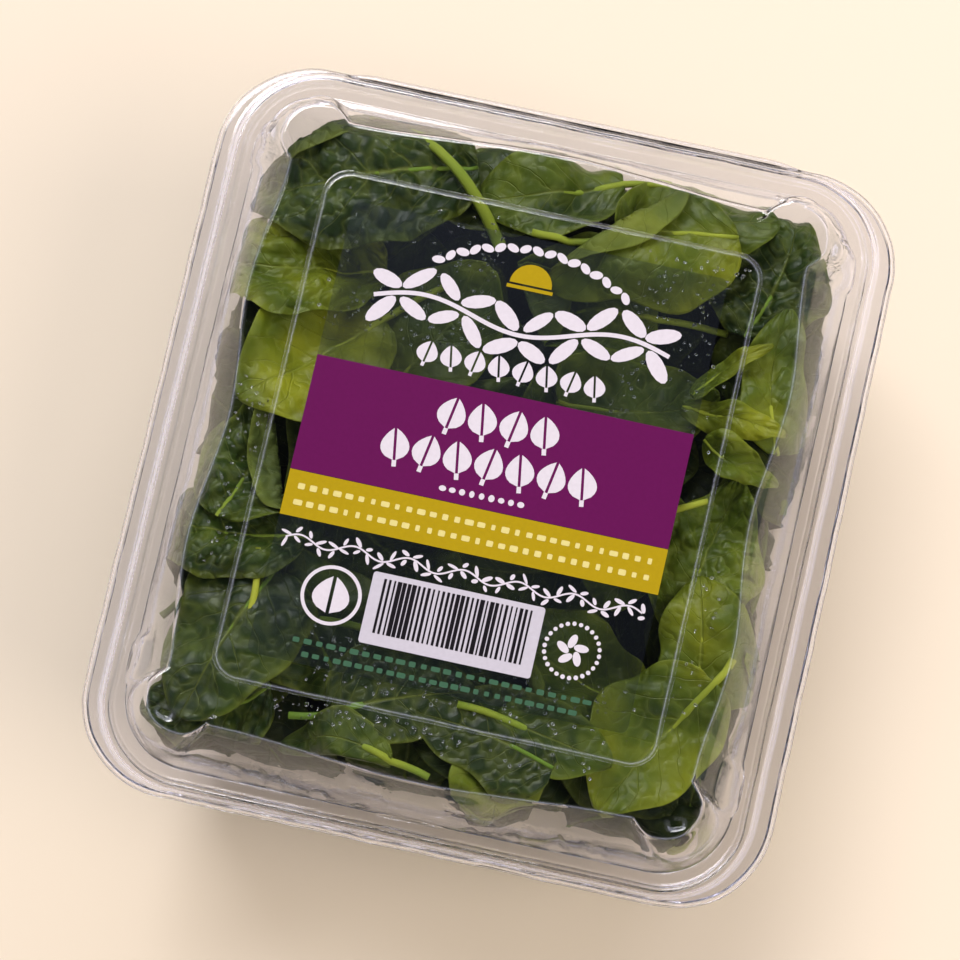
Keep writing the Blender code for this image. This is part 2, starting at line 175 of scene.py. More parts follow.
print("middle grey in linear light:", round(ink("#808080")[0], 3))

# %% [markdown]
# ## Lights and floor
# A clear pack is mostly reflections, so the lights are set by what it mirrors. The window light
# comes from behind on the left and runs along the beads and creases of the sheet. The other
# lights are kept out of reflections, because the flat lid would mirror them. Pale cards near the
# horizon, which only reflections show, give the rim and the shoulder their bright edges.

# %% Lights
LIGHT_AIM = Vector((0, 0, 50 * MM))
LIGHTS = [  # name, place, size, watts, colour, and whether reflections show it
    ("window_left", (-0.7, 1.15, 1.65), (1.1, 0.8), 24, "#fffdfa", True),
    ("window_back", (0.1, 1.7, 1.0), (1.4, 0.5), 11, "#f2f2ff", False),
    ("overhead", (0.3, -0.2, 2.2), (1.6, 1.6), 16, "#fff4e6", False),
    ("fill_right", (1.5, -0.2, 1.3), (1.4, 1.0), 19, "#fff1e0", False),
]


def area_light(name, spot, size, watts, colour, mirrored):
    """A soft rectangular light that faces the pack."""
    lamp = bpy.data.lights.new(name, "AREA")
    lamp.shape = "RECTANGLE"
    lamp.size, lamp.size_y = size
    lamp.energy = watts
    lamp.color = ink(colour)[:3]
    light = in_scene(name, lamp)
    light.location = spot
    light.rotation_euler = (LIGHT_AIM - Vector(spot)).to_track_quat("-Z", "Y").to_euler()
    light.visible_glossy = mirrored
    light.visible_transmission = mirrored    # a glass face keeps a lamp that either of them lets in


for light in LIGHTS:
    area_light(*light)
print("lights:", [light[0] for light in LIGHTS])

# %% Surroundings and floor
# Stops from straight down (0) by the horizon to straight up (1): what lights the pack, and the
# pale cards beside it, which only reflections show.
PLAIN_AIR = [(0.0, (0.34, 0.33, 0.32, 1)), (0.5, (0.30, 0.29, 0.29, 1)),
             (0.85, (0.08, 0.08, 0.08, 1)), (1.0, (0.04, 0.04, 0.05, 1))]
CARDS = [(0.10, (0.30, 0.30, 0.32, 1)), (0.34, (0.50, 0.50, 0.54, 1)),
         (0.42, (2.5, 2.5, 3.15, 1)), (0.58, (2.5, 2.5, 3.15, 1)),
         (0.66, (0.45, 0.45, 0.5, 1)), (0.86, (0.25, 0.25, 0.28, 1)), (0.94, (0.015, 0.015, 0.02, 1))]
FLOOR_SIZE = 6.0


def studio_air():
    """Surroundings that darken overhead, with the cards that reflections show."""
    world = bpy.data.worlds.new("studio_air")
    world.use_nodes = True
    tree = world.node_tree
    tree.nodes.clear()
    way = put(tree, "ShaderNodeTexCoord").outputs["Generated"]
    height = put(tree, "ShaderNodeSeparateXYZ", [way]).outputs["Z"]
    plain = with_stops(put(tree, "ShaderNodeValToRGB", [height]), PLAIN_AIR)
    cards = with_stops(put(tree, "ShaderNodeValToRGB", [height]), CARDS)
    mirrored = put(tree, "ShaderNodeLightPath").outputs["Is Glossy Ray"]
    shade = put(tree, "ShaderNodeMix", [mirrored, plain, cards], data_type="RGBA")
    put(tree, "ShaderNodeOutputWorld", {"Surface": put(tree, "ShaderNodeBackground", {"Color": shade})})
    return world


def paper_floor():
    """A sheet of matt cream backdrop paper."""
    bpy.ops.mesh.primitive_plane_add(size=FLOOR_SIZE)
    floor = bpy.context.object
    floor.name = "floor"
    paper, tree, skin = new_material("backdrop_paper")
    feed(tree, skin, {"Base Color": ink("#efe2d2"), "Roughness": 0.85})
    floor.data.materials.append(paper)
    return floor


bpy.context.scene.world = studio_air()
paper_floor()
print("surroundings:", bpy.context.scene.world.name)

# %% [markdown]
# ## The outline of the box
# Tray and lid are drawn from the same family of outlines: a rounded rectangle whose long sides
# have two bulges with a waist between them, and whose ends have one wide bulge. The scallops
# stiffen the thin sheet. One function gives a point on an outline from its half sizes, corner
# radius and scallop depth, so a ring of them, a wall between them and the room inside all agree.

# %% Outline
LONG_STEPS, END_STEPS, CORNER_STEPS = 12, 8, 5       # places on a long side, an end and a corner
HALF_TURN = LONG_STEPS + END_STEPS + 2 * CORNER_STEPS
STEP_LENGTH = 8.1 * MM                   # mean run of the wall in one step


def lobe_share(v):
    """Where the boxy lobe at a corner stands out: 0 at its ends, 1 between them."""
    up, down = np.clip((v + 0.02) / 0.24, 0, 1), np.clip((1.04 - v) / 0.24, 0, 1)
    return up * up * (3 - 2 * up) * down * down * (3 - 2 * down)


def outline_xy(section, step, lobe=0.0):
    """Points on a scalloped rounded rectangle; section is (half x, half y, radius, scallop).

    lobe is how far the corners stand out beyond it, as a share of the scallop."""
    half_x, half_y, radius, scallop = section
    step = np.asarray(step, float) % (2 * HALF_TURN)
    flip = np.where(step >= HALF_TURN, -1.0, 1.0)
    step = step % HALF_TURN
    straight_x, straight_y = half_x - radius, half_y - radius
    u = 2 * step / LONG_STEPS - 1
    side = (half_x - scallop * (1 + np.cos(2 * np.pi * u)) / 2, straight_y * u)
    v = (step - LONG_STEPS) / CORNER_STEPS
    reach = radius - scallop * ((1 + np.cos(2 * np.pi * v)) / 2 - lobe * lobe_share(v))
    near = (straight_x + reach * np.cos(v * np.pi / 2), straight_y + reach * np.sin(v * np.pi / 2))
    w = 2 * (step - LONG_STEPS - CORNER_STEPS) / END_STEPS - 1
    end = (-straight_x * w, half_y - scallop * (1 - np.cos(np.pi * w)) / 2)
    q = (step - LONG_STEPS - CORNER_STEPS - END_STEPS) / CORNER_STEPS
    reach = radius - scallop * ((1 + np.cos(2 * np.pi * q)) / 2 - lobe * lobe_share(1 - q))
    far = (-straight_x - reach * np.sin(q * np.pi / 2), straight_y + reach * np.cos(q * np.pi / 2))
    spans = [step < LONG_STEPS, step < LONG_STEPS + CORNER_STEPS,
             step < LONG_STEPS + CORNER_STEPS + END_STEPS]
    return [flip * np.select(spans, [side[k], near[k], end[k]], far[k]) for k in (0, 1)]


def beyond_outline(x, y, section):
    """How far points lie outside a section's outline, and the way out there."""
    half_x, half_y, radius, scallop = section
    straight_x, straight_y = half_x - radius, half_y - radius
    over_x, over_y = np.abs(x) - straight_x, np.abs(y) - straight_y
    corner = (over_x > 0) & (over_y > 0)
    far = np.maximum(np.hypot(over_x, over_y), 1e-9)
    v = np.arctan2(np.maximum(over_y, 0), np.maximum(over_x, 1e-9)) / (np.pi / 2)
    at_corner = far - radius + scallop * (1 + np.cos(2 * np.pi * v)) / 2
    at_side = over_x - radius + scallop * (1 + np.cos(2 * np.pi * y / straight_y)) / 2
    at_end = over_y - radius + scallop * (1 - np.cos(np.pi * x / straight_x)) / 2
    side = over_x > over_y
    beyond = np.where(corner, at_corner, np.where(side, at_side, at_end))
    way_x = np.where(corner, over_x / far, np.where(side, 1.0, 0.0)) * np.sign(x)
    way_y = np.where(corner, over_y / far, np.where(side, 0.0, 1.0)) * np.sign(y)
    return beyond, way_x, way_y


print("steps round an outline:", 2 * HALF_TURN)

# %% Rings of the box
# Each row is a ring: inset in X and in Y from the rim's edge, radius, scallop and height, in mm.
BEAD = BEAD_RISE / MM
RIM_RINGS = [
    (0.85, 0.85, 23.9, 0.0, -1.2), (1.05, 1.0, 23.8, 0.0, -0.3), (1.7, 1.3, 23.4, 0.0, 0.0),
    (4.7, 1.6, 22.8, 0.0, 0.0), (5.5, 2.1, 22.1, 0.0, 0.9 * BEAD), (6.5, 2.9, 21.3, 0.0, 1.05 * BEAD),
    (7.5, 3.8, 20.4, 0.0, 0.9 * BEAD), (8.3, 4.6, 19.6, 0.0, 0.0), (9.8, 6.4, 18.8, 0.0, 0.0),
    (11.5, 8.3, 18.0, 0.0, 0.0),
]
TRAY_RINGS = [
    (12.2, 9.1, 17.5, 0.5, -1.2), (12.9, 9.9, 17.0, 3.6, -7.0), (14.4, 11.5, 16.5, 4.4, -17.0),
    (16.0, 13.2, 16.0, 4.6, -28.0), (17.9, 15.2, 15.5, 4.4, -38.0), (19.6, 17.0, 15.0, 3.8, -47.0),
    (21.6, 19.0, 14.0, 2.4, -52.6), (25.0, 22.4, 12.0, 1.0, -55.2), (30.0, 28.0, 11.0, 0.2, -55.2),
    (36.0, 34.0, 10.0, 0.0, -55.2), (38.0, 36.0, 9.0, 0.0, -53.6), (44.0, 42.0, 7.0, 0.0, -53.6),
]
LID_WALL = [
    (12.0, 8.9, 17.8, 0.3, 2.4), (13.6, 10.4, 17.0, 1.6, 8.5), (16.2, 12.6, 16.0, 2.6, 13.4),
    (18.6, 14.4, 15.0, 3.0, 16.2), (19.1, 14.8, 14.8, 3.0, 16.8), (19.8, 15.3, 14.5, 3.0, 17.0),
    (21.2, 16.6, 13.8, 2.9, 17.0), (23.5, 18.4, 13.0, 2.7, 17.0),
]
FOOT_X, FOOT_Y = (RIM_X - PANEL_X) / MM, (RIM_Y - PANEL_Y) / MM     # where the label panel's step starts
LID_PANEL = [
    (FOOT_X - 2.2, FOOT_Y - 2.2, 7.8, 0.4, 17.0), (FOOT_X - 0.9, FOOT_Y - 0.9, 6.7, 0.0, 17.0),
    (FOOT_X - 0.1, FOOT_Y - 0.1, 6.1, 0.0, 18.0), (FOOT_X + 0.8, FOOT_Y + 0.8, 5.4, 0.0, 18.0),
    (FOOT_X + 5.0, FOOT_Y + 5.0, 3.0, 0.0, 18.0),
]
print("rings:", len(RIM_RINGS), len(TRAY_RINGS), len(LID_WALL) + len(LID_PANEL))


def section_of(row):
    """(half x, half y, radius, scallop) of a ring's row, in metres."""
    return (RIM_X - row[0] * MM, RIM_Y - row[1] * MM, row[2] * MM, row[3] * MM)


def room_section(z):
    """Arrays of the section inside the shut box at heights z."""
    rows = [r for r in reversed(TRAY_RINGS[:8])] + [RIM_RINGS[-1]] + LID_WALL[:5]
    heights = [RIM_Z + r[4] * MM for r in rows]
    columns = np.array([section_of(r) for r in rows]).T
    return [np.interp(z, heights, column) for column in columns]


# %% [markdown]
# ## The clear sheet
# A thermoformed wall is one even skin. A coarse cage with Subdivision Surface and Solidify could
# make it, but its scallops would come out shallower than they are drawn. So it is lofted as rings
# of points, rounded by cutting their corners twice, and given a second skin half a millimetre
# away. Glass-like PET bends what is behind it only where the sheet curves, so the small steps,
# beads and lugs are what the eye reads: they are pushed into the rings as soft raised pads.

# %% Rings of points
FINE_LONG, FINE_END, FINE_CORNER = 72, 64, 40
SHEET = 0.5 * MM
RIPPLE = 0.12 * MM
FLAT_RIPPLE = 0.25                       # share of the ripple on level stretches; it grows on steep ones
FOOT_FLAT = 2.0 * MM                     # the ripple fades out over the flat foot
SHEET_START = CAD_SHEET - SHEET          # so that the outer skins keep the frame's outer faces


def fine_steps():
    """Steps of one fine ring, closer together round the corners."""
    half = [np.arange(FINE_LONG) * LONG_STEPS / FINE_LONG,
            LONG_STEPS + np.arange(FINE_CORNER) * CORNER_STEPS / FINE_CORNER,
            LONG_STEPS + CORNER_STEPS + np.arange(FINE_END) * END_STEPS / FINE_END,
            LONG_STEPS + CORNER_STEPS + END_STEPS + np.arange(FINE_CORNER) * CORNER_STEPS / FINE_CORNER]
    half = np.concatenate(half)
    return np.concatenate([half, half + HALF_TURN])


def rounded(rows, times=2):
    """Rows with their corners cut: each pass puts two rows in place of every inner one."""
    rows = [np.array(row, float) for row in rows]
    for _ in range(times):
        cut = [rows[0]]
        for a, b in zip(rows, rows[1:]):
            cut += [0.75 * a + 0.25 * b, 0.25 * a + 0.75 * b]
        rows = cut + [rows[-1]]
    return rows


print("points round a fine ring:", len(fine_steps()))
print("rings of the tray:", len(rounded(RIM_RINGS + TRAY_RINGS)))


# %% Pads and ripple in the sheet
def pads_height(x, y, pads):
    """Height of raised pads at plan points: (x, y, half length, half width, turn, rise, steepness)."""
    rise = np.zeros_like(x)
    for px, py, half_long, half_wide, turn, high, steep in pads:
        along = (x - px) * math.cos(turn) + (y - py) * math.sin(turn)
        across = -(x - px) * math.sin(turn) + (y - py) * math.cos(turn)
        far = ((along / half_long) ** 4 + (across / half_wide) ** 4) ** 0.25
        share = np.clip(steep * (1 - far), 0, 1)
        rise += high * share * share * (3 - 2 * share)
    return rise


def grid_normals(grid):
    """Unit normals of a grid of rings that close on themselves."""
    around = np.roll(grid, -1, 1) - np.roll(grid, 1, 1)
    inward = np.empty_like(grid)
    inward[1:-1] = grid[2:] - grid[:-2]
    inward[0], inward[-1] = grid[1] - grid[0], grid[-1] - grid[-2]
    normal = np.cross(around, inward)
    return normal / np.maximum(np.linalg.norm(normal, axis=2, keepdims=True), 1e-12)


def ripple(grid):
    """Slow uneven waves in a drawn sheet, from 8 to 30 mm long."""
    x, y, z = (grid[..., k] / MM for k in range(3))
    wave = np.sin(0.21 * x + 0.13 * y + 0.11 * z) * np.sin(0.17 * y - 0.09 * x + 1.1)
    wave += 0.5 * np.sin(0.47 * x - 0.31 * y + 0.4 * z + 2.0) * np.sin(0.39 * y + 0.23 * x)
    return RIPPLE * wave


print("ripple in mm:", round(RIPPLE / MM, 2))


# %% A sheet through the rings
def mesh_piece(name, points, faces, edges=(), smooth=False):
    """A new piece in the scene, from points and faces."""
    mesh = bpy.data.meshes.new(name)
    mesh.from_pydata(points, edges, faces)
    if smooth:
        mesh.shade_smooth()
    return in_scene(name, mesh)


def ring_quads(count, around):
    """Point numbers of a grid of closed rings, and the quads between each ring and the next."""
    index = np.arange(count * around).reshape(count, around)
    after = np.roll(index, -1, 1)
    return index, np.stack([index[:-1], after[:-1], after[1:], index[1:]], 2).reshape(-1, 4)


def sheet_mesh(name, rows, base_z, side, pads, lobe=0.0):
    """A closed thin sheet through rings, its body above (1) or below (-1) them."""
    steps = fine_steps()
    rings = []
    for row in rounded(rows):
        x, y = outline_xy(section_of(row), steps, lobe)
        rings.append(np.stack([x, y, np.full_like(x, base_z + row[4] * MM)], 1))
    grid = np.array(rings)
    normal = grid_normals(grid)
    steep = 1 - np.abs(normal[..., 2])
    foot = np.clip((grid[..., 2] - CAD_SHEET - FOOT_FLAT) / FOOT_FLAT, 0, 1)
    lift = pads_height(grid[..., 0], grid[..., 1], pads) + ripple(grid) * (FLAT_RIPPLE + steep) * foot
    grid += normal * lift[..., None]
    normal = grid_normals(grid) * side
    near, far = grid + normal * SHEET_START, grid + normal * CAD_SHEET
    points = np.concatenate([near.reshape(-1, 3), far.reshape(-1, 3)])
    index, quads = ring_quads(*grid.shape[:2])
    twin = index.size                    # from a point of the near skin to its twin on the far one
    upper, lower = (0, twin) if side < 0 else (twin, 0)
    rim, inmost = index[0], index[-1]
    edge = np.stack([rim + twin, np.roll(rim, -1) + twin, np.roll(rim, -1), rim], 1)
    faces = (quads + upper).tolist() + (quads[:, ::-1] + lower).tolist()
    faces += (edge if side < 0 else edge[:, ::-1]).tolist()
    faces += [(inmost + upper).tolist(), (inmost[::-1] + lower).tolist()]
    return mesh_piece(name, points.tolist(), faces, smooth=True)


print("sheet thickness in mm:", round(SHEET / MM, 2))

# %% Stacking lugs, snap pads and the opening tab
LEFT_AND_RIGHT = (-1, 1)
FRONT, BACK = (-1,), (1,)
EDGE = RIM_Y / MM


def corner_pads(places, ends=(-1, 1), sides=LEFT_AND_RIGHT):
    """Pads at the pack's ends, from (x, y, half length, half width, turn, rise, steepness)."""
    return [(sx * x * MM, sy * y * MM, half_long * MM, half_wide * MM, turn * sx * sy, high * MM, steep)
            for x, y, half_long, half_wide, turn, high, steep in places for sx in sides for sy in ends]


LID_PADS = corner_pads([(75.3, 64.5, 3.1, 6.6, 0.0, 1.3, 4.0),
                        (65.0, 78.4, 3.0, 2.0, -0.3, -0.7, 2.0)], FRONT)
LID_PADS += corner_pads([(74.6, 71.5, 3.2, 5.6, 0.0, 1.2, 4.0),
                         (61.0, 84.0, 5.0, 1.8, 0.0, 0.7, 2.0)], BACK)
LID_PADS += corner_pads([(0.0, EDGE - 6.2, 10.5, 1.9, 0.0, 0.9, 1.6)], FRONT, (1,))
LID_PADS += corner_pads([(x, EDGE - 10.6, 1.0, 2.2, 0.0, 0.6, 2.5) for x in (22, 30, 38, 46)], FRONT)
LID_PADS += corner_pads([(12.0, EDGE - 12.5, 4.5, 1.4, 0.0, 0.6, 3.0)], FRONT)
LID_LOBE = 1.15                          # how far its corners stand out, in scallops
TRAY_PADS = corner_pads([(50.0, 60.0, 3.5, 3.5, 0.0, 0.9, 1.6)])
TRAY_PADS += corner_pads([(x, EDGE - 11.5, 1.8, 2.6, 0.0, 0.8, 2.5) for x in (14, 25, 36, 47)], FRONT)
print("pads:", len(LID_PADS), len(TRAY_PADS))

# %% [markdown]
# ## The plastic
# Clear polyethylene terephthalate has an IOR of about 1.57 and a polished moulded face. The glass
# shader gives it bends and mirror highlights. Lamps are let straight through, because light
# focused by so thin a sheet isn't worth tracing. The slow ripple that drawing a hot sheet leaves is
# in its rings, so the material stays plain.

# %% PET material
def clear_material(name, tint, rough, ior):
    """A clear solid that is passed straight by light on its way to and from leaves."""
    material, tree, _ = new_material(name)
    tree.nodes.clear()
    glass = put(tree, "ShaderNodeBsdfGlass", {"Color": ink(tint), "Roughness": rough, "IOR": ior})
    clear = put(tree, "ShaderNodeBsdfTransparent", {"Color": ink("#fcfcfd")})
    rays = put(tree, "ShaderNodeLightPath").outputs
    bounced = put(tree, "ShaderNodeMixShader", [rays["Is Diffuse Ray"], glass, clear])
    both = put(tree, "ShaderNodeMixShader", [rays["Is Shadow Ray"], bounced, clear])
    put(tree, "ShaderNodeOutputMaterial", {"Surface": both})
    return material


PET = clear_material("clear_thermoformed_pet", "#fdfdff", 0.015, 1.57)
print("sheet material:", PET.name)

# %% Tray and lid
def dress(piece, material, body):
    """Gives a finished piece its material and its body."""
    piece.data.materials.clear()
    piece.data.materials.append(material)
    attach(piece, body)
    return piece


tray = sheet_mesh("tray_sheet", RIM_RINGS + TRAY_RINGS, RIM_Z, -1, TRAY_PADS)
dress(tray, PET, "base")
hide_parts("base_tray")
lid = sheet_mesh("lid_sheet", RIM_RINGS + LID_WALL + LID_PANEL, LID_Z, 1, LID_PADS, LID_LOBE)
dress(lid, PET, "lid")
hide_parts("lid")
print("tray and lid faces:", len(tray.data.polygons), len(lid.data.polygons))

# %% [markdown]
# ## The living hinge
# Along the back edge the sheet isn't cut but pressed thin, and it folds there. A narrow strip
# with a U section joins the two rims when the pack is shut. It is joined to neither body, and
# stays where the shut pack has it.

# %% Hinge strip
HINGE_HALF = 60 * MM
HINGE_FOLD = [(-1.2, -0.45), (-0.2, -0.42), (0.35, -0.2), (0.62, 0.25), (0.62, 0.85), (0.35, 1.3),
              (-0.2, 1.52), (-1.2, 1.55)]          # its section: outward and up, in mm
HINGE_MIDDLE, HINGE_LEVEL = 0.55, 0.15   # height of the section's middle, in it and over the tray's rim
HINGE_FILM = 0.25 * MM
HINGE_CUTS = 60
HINGE_TAPER = 7 * MM
HINGE_INSIDE = -1.2                      # how far in its ends are drawn, in mm
HINGE_END = 0.3                          # share of its height that is left at its ends


def worked_out(piece):
    """The piece with its modifiers worked out, as plain mesh."""
    graph = bpy.context.evaluated_depsgraph_get()
    mesh = bpy.data.meshes.new_from_object(piece.evaluated_get(graph))
    piece.modifiers.clear()
    piece.data = mesh
    return piece


def hinge_strip():
    """The folded strip along the back edge of the rims, drawn in at its ends."""
    across = np.linspace(-HINGE_HALF, HINGE_HALF, HINGE_CUTS + 1)
    drawn = np.clip((HINGE_HALF - np.abs(across)) / HINGE_TAPER, 0, 1) ** 0.5
    points = [(x, RIM_Y + (HINGE_INSIDE + (dy - HINGE_INSIDE) * full) * MM,
               RIM_Z + (HINGE_LEVEL + (dz - HINGE_MIDDLE) * (HINGE_END + (1 - HINGE_END) * full)) * MM)
              for dy, dz in HINGE_FOLD for x, full in zip(across, drawn)]
    wide = len(across)
    faces = [(r * wide + c, r * wide + c + 1, (r + 1) * wide + c + 1, (r + 1) * wide + c)
             for r in range(len(HINGE_FOLD) - 1) for c in range(wide - 1)]
    strip = mesh_piece("hinge_strip", points, faces)
    film = strip.modifiers.new("film", "SOLIDIFY")
    film.thickness = HINGE_FILM
    film.offset = 0.0
    worked_out(strip).data.shade_smooth()
    return strip


hinge = hinge_strip()
hinge.data.materials.append(PET)
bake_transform(hinge)
print("hinge strip faces:", len(hinge.data.polygons))

# %% [markdown]
# ## The leaves
# A baby spinach leaf is an oval blade about 35 to 60 mm long on a pale stem. It folds a little
# along its midrib, cups, ripples at its margin and puffs up between its side veins. A cloth
# simulation could drop such leaves into the box, but it is slow and hard to steer. Here each leaf
# is a grid of points with those shapes added, and it is laid on a pile: it comes down flat until
# it touches what is under it, then sags towards it, and the pile's heights are raised to its top.
# So leaves overlap as they do in the box, and none passes through another.

# %% Pile of leaves
PILE_CELL = 1.0 * MM
LAY_FINER = 3                            # points per point of a leaf's grid, so that it skips no cell


class Pile:
    """Heights of what lies on a plane, kept on a grid of cells."""

    def __init__(self, low, high):
        self.low = np.array(low, float)
        self.cell = PILE_CELL
        shape = np.ceil((np.array(high) - self.low) / self.cell).astype(int) + 1
        self.heights = np.zeros(shape)

    def cells(self):
        """Plane coordinates of the cells."""
        a = self.low[0] + np.arange(self.heights.shape[0]) * self.cell
        b = self.low[1] + np.arange(self.heights.shape[1]) * self.cell
        return np.meshgrid(a, b, indexing="ij")

    def read(self, heights, a, b):
        """Heights at plane points, blended between cells."""
        i = np.clip((a - self.low[0]) / self.cell, 0, heights.shape[0] - 1.001)
        j = np.clip((b - self.low[1]) / self.cell, 0, heights.shape[1] - 1.001)
        i0, j0 = i.astype(int), j.astype(int)
        fi, fj = i - i0, j - j0
        return ((heights[i0, j0] * (1 - fi) + heights[i0 + 1, j0] * fi) * (1 - fj)
                + (heights[i0, j0 + 1] * (1 - fi) + heights[i0 + 1, j0 + 1] * fi) * fj)

    def softened(self, reach=3):
        """The heights spread to their neighbours and then smoothed."""
        spread = self.heights.copy()
        for _ in range(reach):
            for axis in (0, 1):
                spread = np.maximum(spread, np.maximum(np.roll(spread, 1, axis), np.roll(spread, -1, axis)))
        for _ in range(2 * reach):
            for axis in (0, 1):
                spread = (np.roll(spread, 1, axis) + 2 * spread + np.roll(spread, -1, axis)) / 4
        return np.maximum(spread, self.heights)

    def lay(self, a, b, heights):
        """Raises the cells under a grid of points to their heights."""
        a, b, heights = (finer(v, LAY_FINER) for v in (a, b, heights))
        i = np.clip(np.rint((a - self.low[0]) / self.cell).astype(int), 0, self.heights.shape[0] - 1)
        j = np.clip(np.rint((b - self.low[1]) / self.cell).astype(int), 0, self.heights.shape[1] - 1)
        np.maximum.at(self.heights, (i, j), heights)


def finer(values, times):
    """A grid of values with more points between its own."""
    for axis in (0, 1):
        count = values.shape[axis]
        place = np.linspace(0, count - 1, times * (count - 1) + 1)
        low = np.minimum(place.astype(int), count - 2)
        share = place - low
        share = share[:, None] if axis == 0 else share[None, :]
        values = np.take(values, low, axis) * (1 - share) + np.take(values, low + 1, axis) * share
    return values


print("a row of 3 values, made finer:", finer(np.array([[0.0, 1.0, 4.0], [0.0, 1.0, 4.0]]), 2)[0].tolist())

# %% Shape of one leaf
STEM_END, TIP_END = 0.012, 0.988         # where the grid of points starts and stops along the leaf
EDGE_CROWDING = 1.35                     # brings its columns closer together at the margins
VEIN_PAIRS = 6
VEIN_SWEEP = 0.32                        # how far a side vein climbs on its way to the margin


def half_width(t):
    """Share of the half width at shares t of the length, from the stem to the tip."""
    return np.sin(np.pi * t ** 0.74) ** 0.62


def uneven(x, y, wave, draw, count=5):
    """Irregular waves about as long as wave, from -1 to 1: slanted sines with random ways."""
    total = np.zeros_like(x)
    for _ in range(count):
        way = draw.uniform(0, math.pi)
        pace = 2 * math.pi / (wave * draw.uniform(0.7, 1.5))
        total += np.sin(pace * (x * math.cos(way) + y * math.sin(way)) + draw.uniform(0, 6.3))
    return total / (0.62 * count)


def leaf_blade(length, width, rows, columns, form, draw):
    """A flat-lying leaf: t, s, x along, y across, lift z and fine relief, each a grid of rows by columns."""
    t = np.linspace(STEM_END, TIP_END, rows)[:, None] * np.ones((1, columns))
    s = np.sin(np.linspace(-1, 1, columns) * EDGE_CROWDING) / math.sin(EDGE_CROWDING)
    s = s[None, :] * np.ones((rows, 1))
    # The outline: lopsided by lean, uneven by lobes, swept back and bowed along its length.
    lean = draw.uniform(-0.14, 0.14)
    lobes = 0.09 * np.sin(7 * t + draw.uniform(0, 6))
    lobes = lobes + 0.05 * np.sin(15 * t + draw.uniform(0, 6)) * np.sign(s)
    half = width / 2 * half_width(t) * (1 + lean * np.sign(s) + lobes)
    x = (t - 0.5) * length - draw.uniform(-0.05, 0.16) * np.abs(s) ** 2 * half
    y = s * half + draw.uniform(-0.12, 0.12) * length * np.sin(np.pi * t)
    # The lift: folded along the midrib, curled end to end, cupped across, bent, rippled at each margin.
    z = form["fold"] * draw.uniform(0.4, 1.6) * np.abs(s) ** 1.2 * half
    z += form["curl"] * draw.uniform(-1, 1) * length * (t - 0.5) ** 2
    z += form["cup"] * draw.uniform(-0.6, 1.4) * half * s ** 2
    z += form["bend"] * uneven(x, y, 38 * MM, draw, 3)
    for sign in (-1, 1):
        waves = np.sin(2 * np.pi * draw.uniform(1.4, 2.8) * t + draw.uniform(0, 6.3))
        waves += 0.5 * np.sin(2 * np.pi * draw.uniform(3.2, 5.0) * t + draw.uniform(0, 6.3))
        z += form["ripple"] * waves * np.clip(sign * s, 0, 1) ** 2.2
    # The relief: pockets between the side veins, and puckers.
    pocket = np.abs(np.sin(np.pi * VEIN_PAIRS * (t - VEIN_SWEEP * np.abs(s)))) ** 0.7
    relief = form["puff"] * pocket * np.clip(1 - s ** 4, 0, 1) * np.clip(3 * np.abs(s), 0, 1)
    relief = relief * (0.75 + 0.5 * uneven(x, y, 13 * MM, draw, 4))
    relief += form["pucker"] * (np.abs(uneven(x, y, 12 * MM, draw)) - 0.4)
    relief += 0.3 * form["pucker"] * np.abs(uneven(x, y, 6.0 * MM, draw))
    return {"t": t, "s": s, "x": x, "y": y, "z": z, "relief": relief}


FORMS = {
    "smooth": {"fold": 0.14, "curl": 0.9, "cup": 0.22, "bend": 2.4 * MM, "ripple": 2.1 * MM,
               "puff": 0.7 * MM, "pucker": 0.8 * MM, "blister": 0.5},
    "crinkled": {"fold": 0.16, "curl": 0.9, "cup": 0.25, "bend": 3.2 * MM, "ripple": 3.4 * MM,
                 "puff": 1.4 * MM, "pucker": 2.1 * MM, "blister": 1.0},
    "cupped": {"fold": 0.26, "curl": 1.5, "cup": 0.5, "bend": 2.6 * MM, "ripple": 2.4 * MM,
               "puff": 0.9 * MM, "pucker": 1.0 * MM, "blister": 0.6},
}
print("leaf forms:", sorted(FORMS))

# %% Leaves gathered into one mesh
BLADE_THICK = 0.42 * MM
STALK_SIDES = 8


def unit(vectors):
    """Vectors of length one, along the last axis."""
    return vectors / np.maximum(np.linalg.norm(vectors, axis=-1, keepdims=True), 1e-12)


